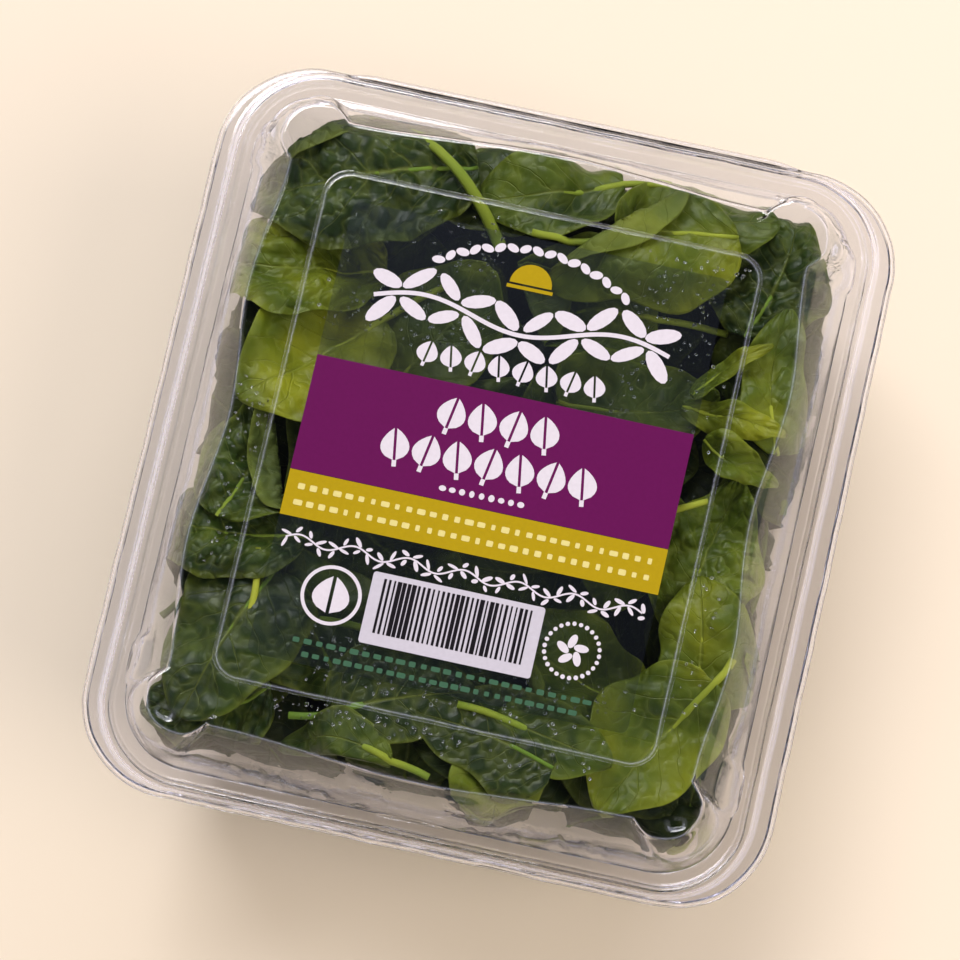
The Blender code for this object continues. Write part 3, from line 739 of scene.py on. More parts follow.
class LeafMesh:
    """Collects leaves and stems, with the marks that their material reads."""

    def __init__(self, name):
        self.name = name
        self.points, self.faces, self.uv = [], [], []
        self.marks = {"tone": [], "under": [], "blister": []}
        self.count = 0

    def add(self, points, faces, uv, **marks):
        """Adds points and faces; marks are tone, under (0 upper, 1 lower face, 2 stem) and blister."""
        self.points.append(points)
        self.faces += [[v + self.count for v in face] for face in faces]
        self.uv.append(uv)
        for key, value in marks.items():
            self.marks[key].append(np.broadcast_to(value, len(points)))
        self.count += len(points)

    def blade(self, spots, t, s, tone, thick=BLADE_THICK, blister=0.4):
        """A leaf's blade as a thin closed skin about a grid of spots."""
        rows, columns = t.shape
        normal = unit(np.cross(np.gradient(spots, axis=0), np.gradient(spots, axis=1)))
        body = thick / 2 * (1 - 0.6 * np.abs(s) ** 3)[..., None]
        points = np.concatenate([spots + normal * body, spots - normal * body]).reshape(-1, 3)
        twin = rows * columns                # from a point of the upper skin to its twin on the lower one
        index = np.arange(twin).reshape(rows, columns)
        quads = np.stack([index[:-1, :-1], index[1:, :-1], index[1:, 1:], index[:-1, 1:]], 2).reshape(-1, 4)
        edge = np.concatenate([index[0, :-1], index[:-1, -1], index[-1, :0:-1], index[:0:-1, 0]])
        after = np.roll(edge, -1)
        rim = np.stack([edge, after, after + twin, edge + twin], 1)
        faces = np.concatenate([quads, quads[:, ::-1] + twin, rim]).tolist()
        uv = np.stack([(s.ravel() + 1) / 2, t.ravel()], 1)
        under = np.repeat([0.0, 1.0], twin)
        self.add(points, faces, np.concatenate([uv, uv]), tone=tone, under=under, blister=blister)

    def stalk(self, path, radii, tone, sides=STALK_SIDES):
        """A stem: a tube along a path, with a groove on top, closed at both ends."""
        path = np.asarray(path, float)
        ways = unit(np.gradient(path, axis=0))
        level = unit(np.cross(ways, [0, 0, 1.0]))[:, None]
        upward = np.cross(level[:, 0], ways)[:, None]
        turn = np.arange(sides) * 2 * np.pi / sides
        groove = 1 - 0.22 * np.exp(-((turn - np.pi / 2) / 0.5) ** 2)
        round_way = level * np.cos(turn)[None, :, None] + upward * np.sin(turn)[None, :, None]
        rings = path[:, None] + radii[:, None, None] * groove[None, :, None] * round_way
        points = np.concatenate([rings.reshape(-1, 3), path[:1], path[-1:]])
        index, quads = ring_quads(len(path), sides)
        start, end = index.size, index.size + 1
        faces = np.roll(quads, -1, 1).tolist()
        faces += [(start, index[0, k], index[0, (k + 1) % sides]) for k in range(sides)]
        faces += [(end, index[-1, (k + 1) % sides], index[-1, k]) for k in range(sides)]
        self.add(points, faces, np.full((len(points), 2), 0.5), tone=tone, under=2.0, blister=0.0)

    def finish(self, material):
        """The mesh object of all that was gathered."""
        piece = mesh_piece(self.name, np.concatenate(self.points).tolist(), self.faces, smooth=True)
        mesh = piece.data
        corner = np.empty(len(mesh.loops), int)
        mesh.loops.foreach_get("vertex_index", corner)
        layer = mesh.uv_layers.new(name="leaf")
        layer.data.foreach_set("uv", np.concatenate(self.uv)[corner].ravel())
        for name, values in self.marks.items():
            marks = mesh.attributes.new(name, "FLOAT", "POINT")
            marks.data.foreach_set("value", np.concatenate(values).astype(np.float32))
        return dress(piece, material, "base")


print("blade thickness in mm:", round(BLADE_THICK / MM, 2))

# %% Room for the heap
RIM_SECTION = section_of(RIM_RINGS[-1])
CORE_TOP = 31.0 * MM
CORE_EDGE_DROP = 10.0 * MM
CORE_EDGE_RUN = 11.0 * MM
CORE_SWELL = 2.0 * MM
WALL_CLEAR = 0.9 * MM
LID_CLEAR = 0.5 * MM
LID_WALL_CLEAR = 1.2 * MM
CEILING_LEVELS = 18
FRONT_RECESS = 8.0 * MM
GAP_RECESS = 8.0 * MM


def heap_recess(x, y):
    """How far the heap stands back from the wall: most of its front, and a gap low on its left.

    Only the leaf that hangs down the front wall, 16 mm right of the middle, stays close to it."""
    front = np.clip((-y - 62 * MM) / (12 * MM), 0, 1) * np.clip((64 * MM - np.abs(x)) / (8 * MM), 0, 1)
    hanging = np.exp(-((x - 16 * MM) / (8 * MM)) ** 2)
    gap = np.exp(-((y + 47 * MM) / (6 * MM)) ** 2) * np.clip((-x - 50 * MM) / (8 * MM), 0, 1)
    return FRONT_RECESS * front * (1 - 0.9 * hanging) + GAP_RECESS * gap


def core_height(x, y):
    """Height of the heap's unseen middle, which falls towards the wall."""
    inside = np.maximum(0.0, -beyond_outline(x, y, RIM_SECTION)[0] - heap_recess(x, y))
    swell = CORE_SWELL * np.sin(x / (15 * MM)) * np.cos(y / (19 * MM))
    return CORE_TOP + swell - CORE_EDGE_DROP * np.exp(-inside / CORE_EDGE_RUN)


def kept_inside(x, y, z, clearance):
    """Plane places moved in where they are nearer to the box's wall than the clearance."""
    beyond, way_x, way_y = beyond_outline(x, y, room_section(z))
    over = np.maximum(0.0, beyond + clearance)
    return x - way_x * over, y - way_y * over


def lid_ceiling(x, y):
    """Highest places that keep clear of the lid at plane points."""
    best = np.full_like(x, RIM_Z)
    for z in np.linspace(RIM_Z, LID_Z + LID_RISE - 0.4 * MM, CEILING_LEVELS):
        best = np.where(beyond_outline(x, y, room_section(z))[0] < -LID_WALL_CLEAR, z, best)
    return best - LID_CLEAR


top_pile = Pile((-90 * MM, -100 * MM), (90 * MM, 100 * MM))
cells = top_pile.cells()
top_pile.heights = core_height(*cells)
CEILING = lid_ceiling(*cells)
print("heap core", round(float(top_pile.heights.min()), 4), round(float(top_pile.heights.max()), 4),
      "ceiling", round(float(CEILING.max()), 4))

# %% Laying one leaf on the heap
LEAF_GAP = 0.45 * MM
LEAF_TOP = 0.2 * MM                      # from a leaf's middle to its upper face
EDGE_CLEAR = 1.6 * MM
FOLD_RADIUS = 0.9 * MM
SMOOTH_GRAIN, CRINKLED_GRAIN = (46, 25), (72, 43)    # rows and columns of a leaf's grid


def heap_levels():
    """How high the pile stands in its middle, in mm: low, median and high shares."""
    middle = top_pile.heights[(np.abs(cells[0]) < 60 * MM) & (np.abs(cells[1]) < 70 * MM)]
    return [round(float(v) / MM, 1) for v in np.percentile(middle, (5, 50, 95))]


def fold_over(blade, place, heading, opening):
    """Turns back the part of a leaf beyond a crease, and gives how far each point is above the rest.

    The crease has a place in mm and a heading in degrees; the flap opens by an angle in degrees."""
    way = math.radians(heading)
    past = blade["x"] * math.cos(way) + blade["y"] * math.sin(way) - place * MM
    bend = np.clip(past / FOLD_RADIUS, 0, math.pi)
    beyond_bend = np.maximum(past - math.pi * FOLD_RADIUS, 0)
    moved = np.where(past > 0, FOLD_RADIUS * np.sin(bend) - beyond_bend - past, 0)
    blade["x"] = blade["x"] + moved * math.cos(way)
    blade["y"] = blade["y"] + moved * math.sin(way)
    return FOLD_RADIUS * (1 - np.cos(bend)) + math.tan(math.radians(opening)) * beyond_bend


def lay_leaf(mesh, spec, form, tone, draw, grain=SMOOTH_GRAIN, sag=0.6, stem=0.0, tilt=(0, 0), fold=None):
    """Lays one leaf on the heap: spec is (x, y, length, width) in mm and the tip's heading in degrees.

    grain is its grid, sag how far it sinks onto what is under it, tilt its pitch and roll in
    degrees, and fold its crease, if it has one: (place, heading, opening)."""
    x, y, length, width, heading = spec
    blade = leaf_blade(length * MM, width * MM, *grain, FORMS[form], draw)
    turn = math.radians(heading)
    pitch, roll = (math.tan(math.radians(angle)) for angle in tilt)
    pz = blade["z"] + pitch * blade["x"] + roll * blade["y"]
    flap = fold_over(blade, *fold) if fold else np.zeros_like(pz)
    px = x * MM + blade["x"] * math.cos(turn) - blade["y"] * math.sin(turn)
    py = y * MM + blade["x"] * math.sin(turn) + blade["y"] * math.cos(turn)

    # What reaches past the wall is drawn in, and turned down along it.
    beyond, way_x, way_y = beyond_outline(px, py, RIM_SECTION)
    over = np.maximum(0.0, beyond + EDGE_CLEAR + heap_recess(px, py))
    over = over * np.clip(over / (2 * MM), 0, 1)
    px, py = px - way_x * over, py - way_y * over
    base = flap < 0.2 * MM
    free = over < 0.5 * MM

    # The leaf comes down until it touches, then sags, and its relief is kept.
    under = top_pile.read(top_pile.heights, px, py) + LEAF_GAP
    soft = top_pile.read(top_pile.softened(), px, py) + LEAF_GAP
    pz = pz + np.max(np.where(free & base, under - pz - blade["relief"], -1.0))
    pz = pz - sag * np.maximum(pz - soft, 0)
    pz = pz + blade["relief"] * (1 - 2 * (flap > FOLD_RADIUS))
    pz = np.where(free, np.maximum(under, pz), pz)
    if fold:
        top_pile.lay(px, py, np.where(free & base, pz + LEAF_TOP, 0))
        rest = top_pile.read(top_pile.heights, px, py)
        pz = np.where(base, pz, np.maximum(pz, rest) + flap)
    pz = pz - 0.9 * over
    pz = np.where(free, np.minimum(pz, top_pile.read(CEILING, px, py)), pz)
    px, py = kept_inside(px, py, pz, WALL_CLEAR)
    top_pile.lay(px, py, np.where(free, pz + LEAF_TOP, 0))
    spots = np.stack([px, py, pz], 2)
    mesh.blade(spots, blade["t"], blade["s"], tone, blister=FORMS[form]["blister"])
    add_stem(mesh, spots, turn, stem * MM, tone, draw)


def add_stem(mesh, spots, turn, length, tone, draw):
    """The midrib under a blade, and the stem that it runs out into."""
    rows, columns = spots.shape[:2]
    path = list(spots[:int(rows * 0.62):3, columns // 2][::-1])
    bend = draw.uniform(-0.5, 0.5)
    steps = max(2, int(length / (3 * MM)))
    spot = path[-1].copy()
    for k in range(steps if length > 0 else 0):
        way = turn + math.pi + bend * (k + 1) / steps
        spot = spot + np.array([math.cos(way), math.sin(way), 0.0]) * length / steps
        floor = top_pile.read(top_pile.heights, spot[0:1], spot[1:2])[0] + 0.9 * MM
        spot[2] = max(floor, spot[2] - 0.6 * MM)
        clear = kept_inside(spot[0:1], spot[1:2], spot[2:3], 2.0 * MM)
        spot[0], spot[1] = clear[0][0], clear[1][0]
        path.append(spot.copy())
    path = np.array(path)
    share = np.linspace(0, 1, len(path))
    thick = 0.95 * MM if length > 0 else 0.6 * MM
    radii = thick * (0.25 + 0.75 * np.clip(share * 2.2, 0, 1))
    path[:, 2] -= radii * 0.55 * (share < 0.5)
    mesh.stalk(path, radii, tone)


print("levels of the bare core, in mm:", heap_levels())

# %% [markdown]
# ## Leaf material
# The blade is a waxy green skin with a satin gloss. Its veins are paler than the flesh and sink
# into the upper face; the underside is duller and greyer. The grid of each leaf carries its own
# coordinates, so veins are drawn along it: a midrib that tapers to the tip and pairs of side
# veins that sweep up to the margin. A mark on each leaf, its tone, runs from old dark leaves to
# young yellow-green ones. A second copy of the material is darkened towards near black, as
# painted shade for the leaves deep in the heap.

# %% Leaf material
MATH = "ShaderNodeMath"
RIB_AT_STEM, RIB_AT_TIP = 0.067, 0.012   # half width of the midrib, as a share of the half leaf
VEIN_AT_RIB, VEIN_AT_EDGE = 0.18, 0.05   # width of a side vein, as a share of the wave between two
VEIN_BENDS = 5.0                         # how often a side vein wanders over the length of a leaf
PATCH_ACROSS = 18.18 * MM                # a patch of one colour on a leaf
CREASE_ACROSS = 4.762 * MM               # a mesh of the net of creases between the veins


def vein_masks(tree):
    """How much of a point is midrib, side vein and thin margin, 0 to 1 each."""
    leaf = put(tree, "ShaderNodeUVMap", uv_map="leaf")
    wobble = put(tree, "ShaderNodeTexNoise", {"Vector": leaf, "Scale": VEIN_BENDS, "Detail": 1.0})
    parts = put(tree, "ShaderNodeSeparateXYZ", [leaf]).outputs
    t = parts["Y"]
    s = put(tree, MATH, [parts["X"], 2.0, -1.0], operation="MULTIPLY_ADD")
    s = put(tree, MATH, [s], operation="ABSOLUTE")
    rib_width = put(tree, MATH, [t, RIB_AT_TIP - RIB_AT_STEM, RIB_AT_STEM], operation="MULTIPLY_ADD")
    midrib = put(tree, "ShaderNodeMapRange", {"Value": s, "From Min": rib_width, "From Max": 0.0})
    phase = put(tree, MATH, [wobble, 0.09, t], operation="MULTIPLY_ADD")
    phase = put(tree, MATH, [s, -VEIN_SWEEP, phase], operation="MULTIPLY_ADD")
    wave = put(tree, MATH, [phase, math.pi * VEIN_PAIRS], operation="MULTIPLY")
    wave = put(tree, MATH, [wave], operation="SINE")
    wave = put(tree, MATH, [wave], operation="ABSOLUTE")
    side_width = put(tree, MATH, [s, VEIN_AT_EDGE - VEIN_AT_RIB, VEIN_AT_RIB], operation="MULTIPLY_ADD")
    side = put(tree, "ShaderNodeMapRange", {"Value": wave, "From Min": side_width, "From Max": 0.0})
    margin = put(tree, "ShaderNodeMapRange", {"Value": s, "From Min": 0.84, "From Max": 1.04})
    return midrib, side, margin


def tinted(tree, colour, mask, amount, code):
    """A colour mixed with another by a mask times an amount."""
    share = put(tree, MATH, [mask, amount], operation="MULTIPLY")
    return put(tree, "ShaderNodeMix", [share, colour, ink(code)], data_type="RGBA")


def leaf_material(name, shade, specular):
    """Fresh spinach: satin green flesh, paler veins, pale stems. Shade is how far it is darkened towards
    near black, as painted shade.
    """
    material, tree, skin = new_material(name)
    midrib, side, margin = vein_masks(tree)
    place = put(tree, "ShaderNodeTexCoord").outputs["Object"]
    tone, under, blister = [put(tree, "ShaderNodeAttribute", attribute_name=mark).outputs["Fac"]
                            for mark in ("tone", "under", "blister")]
    is_under = put(tree, MATH, [under, 1.0], operation="MINIMUM")
    is_stem = put(tree, MATH, [under, 1.0], operation="SUBTRACT", use_clamp=True)

    # Flesh and stem change colour with the leaf's tone, and by patches.
    patches = put(tree, "ShaderNodeTexNoise", {"Vector": place, "Scale": 1 / PATCH_ACROSS, "Detail": 2.0})
    mottle = put(tree, MATH, [patches, 1.3, tone], operation="MULTIPLY_ADD")
    mottle = put(tree, MATH, [mottle, 0.65], operation="SUBTRACT")
    flesh = with_stops(put(tree, "ShaderNodeValToRGB", [mottle]), [
        (0.0, ink("#1a290c")), (0.25, ink("#2b3c10")), (0.5, ink("#475710")), (0.75, ink("#667013")),
        (1.0, ink("#8d931c"))])
    stem = with_stops(put(tree, "ShaderNodeValToRGB", [mottle]), [
        (0.0, ink("#5c7a28")), (1.0, ink("#a8b03a"))])

    # A net of fine creases lies between the veins.
    grain = put(tree, "ShaderNodeTexNoise", {"Vector": place, "Scale": 1 / CREASE_ACROSS, "Detail": 1.0})
    crease = put(tree, MATH, [grain, 0.5], operation="SUBTRACT")
    crease = put(tree, MATH, [crease], operation="ABSOLUTE")
    net = put(tree, MATH, [crease, -9.0, 1.0], operation="MULTIPLY_ADD", use_clamp=True)
    side = put(tree, MATH, [side, 0.55], operation="MULTIPLY")
    veins = put(tree, MATH, [midrib, side], operation="MAXIMUM")

    colour = tinted(tree, flesh, margin, 0.26, "#8f9c28")
    colour = tinted(tree, colour, veins, 0.30, "#94a04a")
    colour = tinted(tree, colour, net, 0.13, "#8a9640")
    colour = tinted(tree, colour, is_under, 0.28, "#6b783f")
    colour = put(tree, "ShaderNodeMix", [is_stem, colour, stem], data_type="RGBA")
    # Painted shade: the colour darkened towards near black for leaves deep in the heap.
    if shade > 0:
        colour = put(tree, "ShaderNodeMix", [shade, colour, ink("#0a0d06")], data_type="RGBA")
    rough = put(tree, MATH, [is_under, 0.2, 0.42], operation="MULTIPLY_ADD")

    # Veins sink, and the flesh between creases is puffed up where the leaf is blistered.
    puffed = put(tree, MATH, [crease, 0.16], operation="MINIMUM")
    puffed = put(tree, MATH, [puffed, blister], operation="MULTIPLY")
    height = put(tree, MATH, [grain, 0.5], operation="MULTIPLY")
    height = put(tree, MATH, [veins, -0.6, height], operation="MULTIPLY_ADD")
    height = put(tree, MATH, [puffed, 6.0, height], operation="MULTIPLY_ADD")
    relief = put(tree, "ShaderNodeBump", {"Strength": 0.8, "Distance": 0.6 * MM, "Height": height})
    feed(tree, skin, {"Base Color": colour, "Roughness": rough, "IOR": 1.43, "Specular IOR Level": specular,
                      "Normal": relief})
    return material


LEAF = leaf_material("fresh_spinach_leaf", 0.0, 0.3)
# A copy with painted shade and less gloss, for the leaves deep in the heap.
PAINTED_SHADE_LEAF = leaf_material("spinach_leaf_painted_shade", 0.62, 0.12)
print("nodes in the leaf material:", len(LEAF.node_tree.nodes))

# %% [markdown]
# ## The core of the heap
# Nobody sees the middle of the heap, so it is one plain body, lofted as rings inside the tray's
# wall, and coloured near black as painted shade. Between the leaves it shows as that painted shade, in
# patches about a leaf wide.

# %% Core of the heap
CORE_RINGS = [(HEAP_LOW.z / MM, 15.0), (9, 10.8), (20, 9.8), (32, 9.8), (41, 10.4)]   # height, inset in mm
CORE_SHARES = (0.93, 0.8, 0.6, 0.4, 0.2, 0.05)      # shares of the way out of the rings on its top
PAINTED_SHADE_ACROSS = 22.22 * MM                # a patch of shade, about as wide as a leaf


def heap_core():
    """A lumpy body that fills the middle of the tray, painted dark as shade by its material."""
    steps = np.arange(0, 2 * HALF_TURN, 0.5)
    rings = []
    for height, inset in CORE_RINGS:
        z = height * MM
        section = room_section(max(z, 6 * MM))
        x, y = outline_xy(section, steps)
        _, way_x, way_y = beyond_outline(x, y, section)
        bump = (inset + 0.8 * np.sin(1.3 * steps + z * 900)) * MM + heap_recess(x, y)
        rings.append(np.stack([x - way_x * bump, y - way_y * bump, np.full_like(x, z)], 1))
    outmost = rings[-1]
    for share in CORE_SHARES:
        x, y = outmost[:, 0] * share, outmost[:, 1] * share
        rings.append(np.stack([x, y, core_height(x, y) - 1.0 * MM], 1))
    grid = np.array(rings)
    index, quads = ring_quads(*grid.shape[:2])
    faces = quads.tolist() + [index[-1].tolist(), index[0][::-1].tolist()]
    return mesh_piece("heap_core", grid.reshape(-1, 3).tolist(), faces, smooth=True)


def core_material():
    """Painted shade for the heap's hidden middle: near black green with leaf-sized patches."""
    material, tree, skin = new_material("heap_core_painted_shade")
    place = put(tree, "ShaderNodeTexCoord").outputs["Object"]
    patches = put(tree, "ShaderNodeTexVoronoi", {"Vector": place, "Scale": 1 / PAINTED_SHADE_ACROSS})
    # These near black greens are painted shade.
    colour = with_stops(put(tree, "ShaderNodeValToRGB", [patches]), [
        (0.0, ink("#16200f")), (0.6, ink("#243312")), (1.0, ink("#0e140a"))])
    feed(tree, skin, {"Base Color": colour, "Roughness": 0.6})
    return material


core = dress(heap_core(), core_material(), "base")
print("core faces:", len(core.data.polygons))

# %% [markdown]
# ## Leaves against the wall
# Through the clear wall the heap shows as leaves pressed flat and upright against it. They are
# laid in the same way, on a second pile: that of the wall unrolled, whose heights are distances
# outward from the core. They come before the leaves on top, which rest on their upper edges.

# %% Leaves on the wall
WALL_DEPTH = 9.4 * MM
WALL_LEAF_GAP = 0.6 * MM
WALL_BLADE = 0.4 * MM
WALL_RUN = 2 * HALF_TURN * STEP_LENGTH
WALL_TIERS = [(14, 20), (31, 20), (42, 22), (22, 13), (36, 14)]     # height in mm, number of leaves
WALL_LEAF_WIDTHS = (0.66, 0.82)          # shares of a leaf's length
LOWEST_ENDS, HIGHEST_ENDS = (2.2, 8), (42, 52)      # heights that leaves keep between, in mm
PRESSED_LIFT, PRESSED_RELIEF = 0.35, 0.6            # what the wall leaves of a leaf's lift and relief
wall_pile = Pile((-60 * MM, 0), (WALL_RUN + 60 * MM, 56 * MM))


def lay_wall_leaf(mesh, along, height, size, lean, form, tone, draw, grain=(24, 11)):
    """Stands one leaf against the wall, at a run along it and a height, leaning from upright."""
    blade = leaf_blade(size * MM, size * draw.uniform(*WALL_LEAF_WIDTHS) * MM, *grain, FORMS[form], draw)
    turn = math.radians(lean)
    a = along + blade["x"] * math.sin(turn) + blade["y"] * math.cos(turn)
    b = height + blade["x"] * math.cos(turn) - blade["y"] * math.sin(turn)
    lowest, highest = draw.uniform(*LOWEST_ENDS) * MM, draw.uniform(*HIGHEST_ENDS) * MM
    b = b + max(0.0, lowest - b.min()) - max(0.0, b.max() - highest)
    b = b + np.maximum(lowest - b, 0) * 0.9
    h = blade["z"] * PRESSED_LIFT + blade["relief"] * PRESSED_RELIEF
    under = wall_pile.read(wall_pile.heights, a, b) + WALL_LEAF_GAP
    soft = wall_pile.read(wall_pile.softened(), a, b) + WALL_LEAF_GAP
    h = h + np.max(under - h)
    h = np.maximum(under, h - 0.85 * np.maximum(h - soft, 0))
    if np.percentile(h, 92) > WALL_DEPTH - WALL_CLEAR:
        return False                     # there is no room left for it
    h = np.minimum(h, WALL_DEPTH - WALL_CLEAR + 0.3 * np.tanh(h / WALL_DEPTH) * MM)
    for shift in (0, -WALL_RUN, WALL_RUN):
        wall_pile.lay(a + shift, b, h + 0.1 * MM)
    section = room_section(b)
    x, y = outline_xy(section, a / STEP_LENGTH)
    _, way_x, way_y = beyond_outline(x, y, section)
    inset = WALL_DEPTH - h + heap_recess(x, y)
    spots = np.stack([x - way_x * inset, y - way_y * inset, b], 2)
    top_pile.lay(spots[..., 0], spots[..., 1], b)
    mesh.blade(spots[:, ::-1], blade["t"], blade["s"], tone, WALL_BLADE)
    rib = spots[:int(grain[0] * 0.7):2, grain[1] // 2][::-1]
    mesh.stalk(rib, 0.7 * MM * np.linspace(0.3, 1, len(rib)), tone)
    return True


draw = random.Random(5)
wall_leaves = LeafMesh("spinach_wall_leaves")
laid = 0
for tier, (height, count) in enumerate(WALL_TIERS):
    for k in range(count):
        along = WALL_RUN * (k + draw.uniform(-0.3, 0.3) + 0.37 * tier) / count % WALL_RUN
        laid += lay_wall_leaf(wall_leaves, along, height * MM, draw.uniform(30, 42), draw.uniform(-75, 75),
                              draw.choice(["smooth", "smooth", "crinkled"]),
                              draw.choice([0.05, 0.2, 0.4, 0.75]), draw)
wall_piece = wall_leaves.finish(LEAF)
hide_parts("spinach_leaves")
print("wall leaves:", laid, "faces:", len(wall_piece.data.polygons))

# %% [markdown]
# ## Leaves on the heap
# Two scatters of leaves with painted shade, darkened towards near black and given low tones, cover the core
# and fill the gaps between the others with depth.
# A few places stay open, as a loose heap does. The leaves that show are then laid one by one,
# from the middle out to the corners, where they curl down against the wall. Some are folded over.

# %% Leaves deeper down
GAPS = [(56, 35), (53, 14), (-32, -70), (34, -77), (-48, 2)]    # where the heap is open and deep, in mm
GAP_REACH = 19                                                  # how far leaves keep from those, in mm
SPREAD_X, SPREAD_Y = 69, 79                                     # half of the heap's plan, in mm
low_leaves = LeafMesh("spinach_lower_leaves")


def clear_of_gaps(x, y):
    """A place in mm moved away from the gaps that it is too near."""
    for gap_x, gap_y in GAPS:
        away = math.hypot(x - gap_x, y - gap_y)
        if 0 < away < GAP_REACH:
            x += (x - gap_x) * (GAP_REACH / away - 1)
            y += (y - gap_y) * (GAP_REACH / away - 1)
    return x, y


def scatter_leaves(mesh, rings, sizes, tones, sag, lean, clearing=False):
    """Rounds of leaves about the middle: rings holds (share of the way out, count)."""
    for ring, count in rings:
        for k in range(count):
            angle = 2 * math.pi * (k + draw.uniform(-0.3, 0.3)) / count + ring * 9
            squarer = min(1.25, 1 / max(abs(math.cos(angle)), abs(math.sin(angle))) ** 0.75)
            x = SPREAD_X * ring * math.cos(angle) * squarer
            y = SPREAD_Y * ring * math.sin(angle) * squarer
            if clearing:
                x, y = clear_of_gaps(x, y)
            size = draw.uniform(*sizes)
            lay_leaf(mesh, (x, y, size, size * draw.uniform(0.62, 0.8), draw.uniform(0, 360)),
                     draw.choice(["smooth", "crinkled", "cupped"]), draw.uniform(*tones), draw,
                     grain=(26, 13), sag=sag, stem=draw.choice([0, 8, 14]),
                     tilt=(draw.uniform(-lean, lean), draw.uniform(-lean, lean)))


# Their low tones and darkened material are painted shade, for leaves deep in the heap.
scatter_leaves(low_leaves, ((0.30, 6), (0.60, 10), (0.84, 15), (0.97, 17)), (34, 46), (0.0, 0.25), 0.75, 14)
print("pile after the lowest leaves:", heap_levels())
scatter_leaves(low_leaves, ((0.25, 5), (0.58, 9), (0.88, 13)), (30, 42), (0.05, 0.45), 0.6, 20, True)
low_piece = low_leaves.finish(PAINTED_SHADE_LEAF)
print("lower leaves:", len(low_piece.data.polygons), "pile", heap_levels())

# %% Leaves on top
# Leaves that show: x, y, length, width in mm, heading of the tip in degrees, form, tone, stem in mm.
SHOWN = [
    ((-10, 6, 50, 40, 60), "smooth", 0.35, 14), ((12, -14, 48, 38, 200), "smooth", 0.3, 0),
    ((-20, -20, 46, 36, 330), "crinkled", 0.3, 10), ((20, 14, 46, 38, 120), "smooth", 0.35, 0),
    ((-22, 34, 44, 34, 60), "smooth", 0.55, 12), ((10, 46, 46, 34, 190), "cupped", 0.35, 18),
    ((32, 28, 42, 32, 15), "smooth", 0.5, 0), ((34, -8, 40, 32, 280), "smooth", 0.4, 0),
    ((-36, -46, 42, 34, 130), "smooth", 0.16, 0), ((0, -50, 44, 34, 350), "smooth", 0.12, 12),
    ((28, -44, 42, 32, 160), "smooth", 0.5, 0), ((-40, 2, 42, 34, 250), "smooth", 0.3, 0),
    ((-20, 74, 40, 26, 190), "smooth", 0.1, 10), ((-2, 75, 40, 26, 200), "smooth", 0.36, 12),
    ((58, 68, 38, 28, 80), "crinkled", 0.15, 0), ((38, 72, 42, 30, 20), "smooth", 0.4, 22),
    ((26, 62, 50, 34, 205), "smooth", 0.6, 0), ((67, 39, 38, 18, 98), "cupped", 0.42, 0),
    ((57, 26, 28, 9, 354), "smooth", 0.62, 0), ((58, -9, 42, 28, 80), "crinkled", 0.4, 0),
    ((60, -31, 34, 28, 100), "smooth", 0.5, 0), ((56, -60, 44, 32, 240), "smooth", 0.62, 8),
    ((31, -64, 32, 20, 350), "cupped", 0.42, 10), ((14, -68, 38, 28, 170), "crinkled", -0.06, 0),
    ((-8, -63, 38, 28, 20), "smooth", -0.08, 10), ((-22, -78, 30, 16, 180), "smooth", 0.26, 10),
    ((-57, -71, 34, 26, 200), "crinkled", 0.15, 0), ((-54, -57, 46, 36, 250), "smooth", 0.12, 0),
    ((-62, -28, 42, 28, 185), "crinkled", 0.15, 0), ((-61, -8, 38, 28, 80), "crinkled", 0.3, 0),
    ((-51, 20, 44, 36, 225), "smooth", 0.75, 18), ((-60, 44, 46, 30, 190), "crinkled", 0.68, 0),
    ((-48, 67, 60, 42, 200), "crinkled", 0.1, 0), ((61, 16, 22, 10, 340), "smooth", 0.5, 0),
    ((54, 38, 25, 6, 45), "smooth", 0.6, 0),
]
# Creases of those that are folded, by their place in the list: place in mm, heading and opening.
FOLDED = {5: (8, 20, 12), 10: (9, 60, 8), 16: (10, -70, 14), 25: (6, 90, 8),
          29: (7, -60, 12), 32: (16, -65, 10)}
top_leaves = [LeafMesh("spinach_top_leaves_1"), LeafMesh("spinach_top_leaves_2")]
# One leaf hangs down the front wall, and the others come to lie over its upper end.
lay_leaf(top_leaves[0], (19, -77, 38, 23, 268), "smooth", 0.5, random.Random(3))
for number, (spec, form, tone, stem) in enumerate(SHOWN):
    lay_leaf(top_leaves[number % 2], spec, form, tone, draw,
             grain=CRINKLED_GRAIN if form == "crinkled" else SMOOTH_GRAIN,
             sag=draw.uniform(0.4, 0.65), stem=stem,
             tilt=(draw.uniform(-15, 15), draw.uniform(-15, 15)), fold=FOLDED.get(number))
print("pile with the leaves that show:", heap_levels())

# %% Loose stems
STEMS = [(-51.6, -45.5, 26, 271, 1.15), (-25, 71, 36, 321, 0.35, 1.7), (47, 1, 17, 200, 0.7)]


def loose_stem(mesh, x, y, length, heading, tone, thick=1.15):
    """A stem by itself on the heap, from its thin end to its thick one along a heading in degrees."""
    turn = math.radians(heading)
    along = np.linspace(-0.5, 0.5, 13) * length * MM
    bow = 0.06 * length * MM * np.cos(along / (length * MM) * math.pi)
    px = x * MM + along * math.cos(turn) - bow * math.sin(turn)
    py = y * MM + along * math.sin(turn) + bow * math.cos(turn)
    radii = np.linspace(0.65, 1.0, len(along)) * thick * MM
    rest = top_pile.read(top_pile.heights, px, py) + radii
    line = np.polyval(np.polyfit(along, rest, 2), along)
    pz = line + max(0.0, float(np.max(rest - line))) * 0.7
    pz = np.minimum(pz, top_pile.read(CEILING, px, py) - radii)
    mesh.stalk(np.stack([px, py, pz], 1), radii, tone)


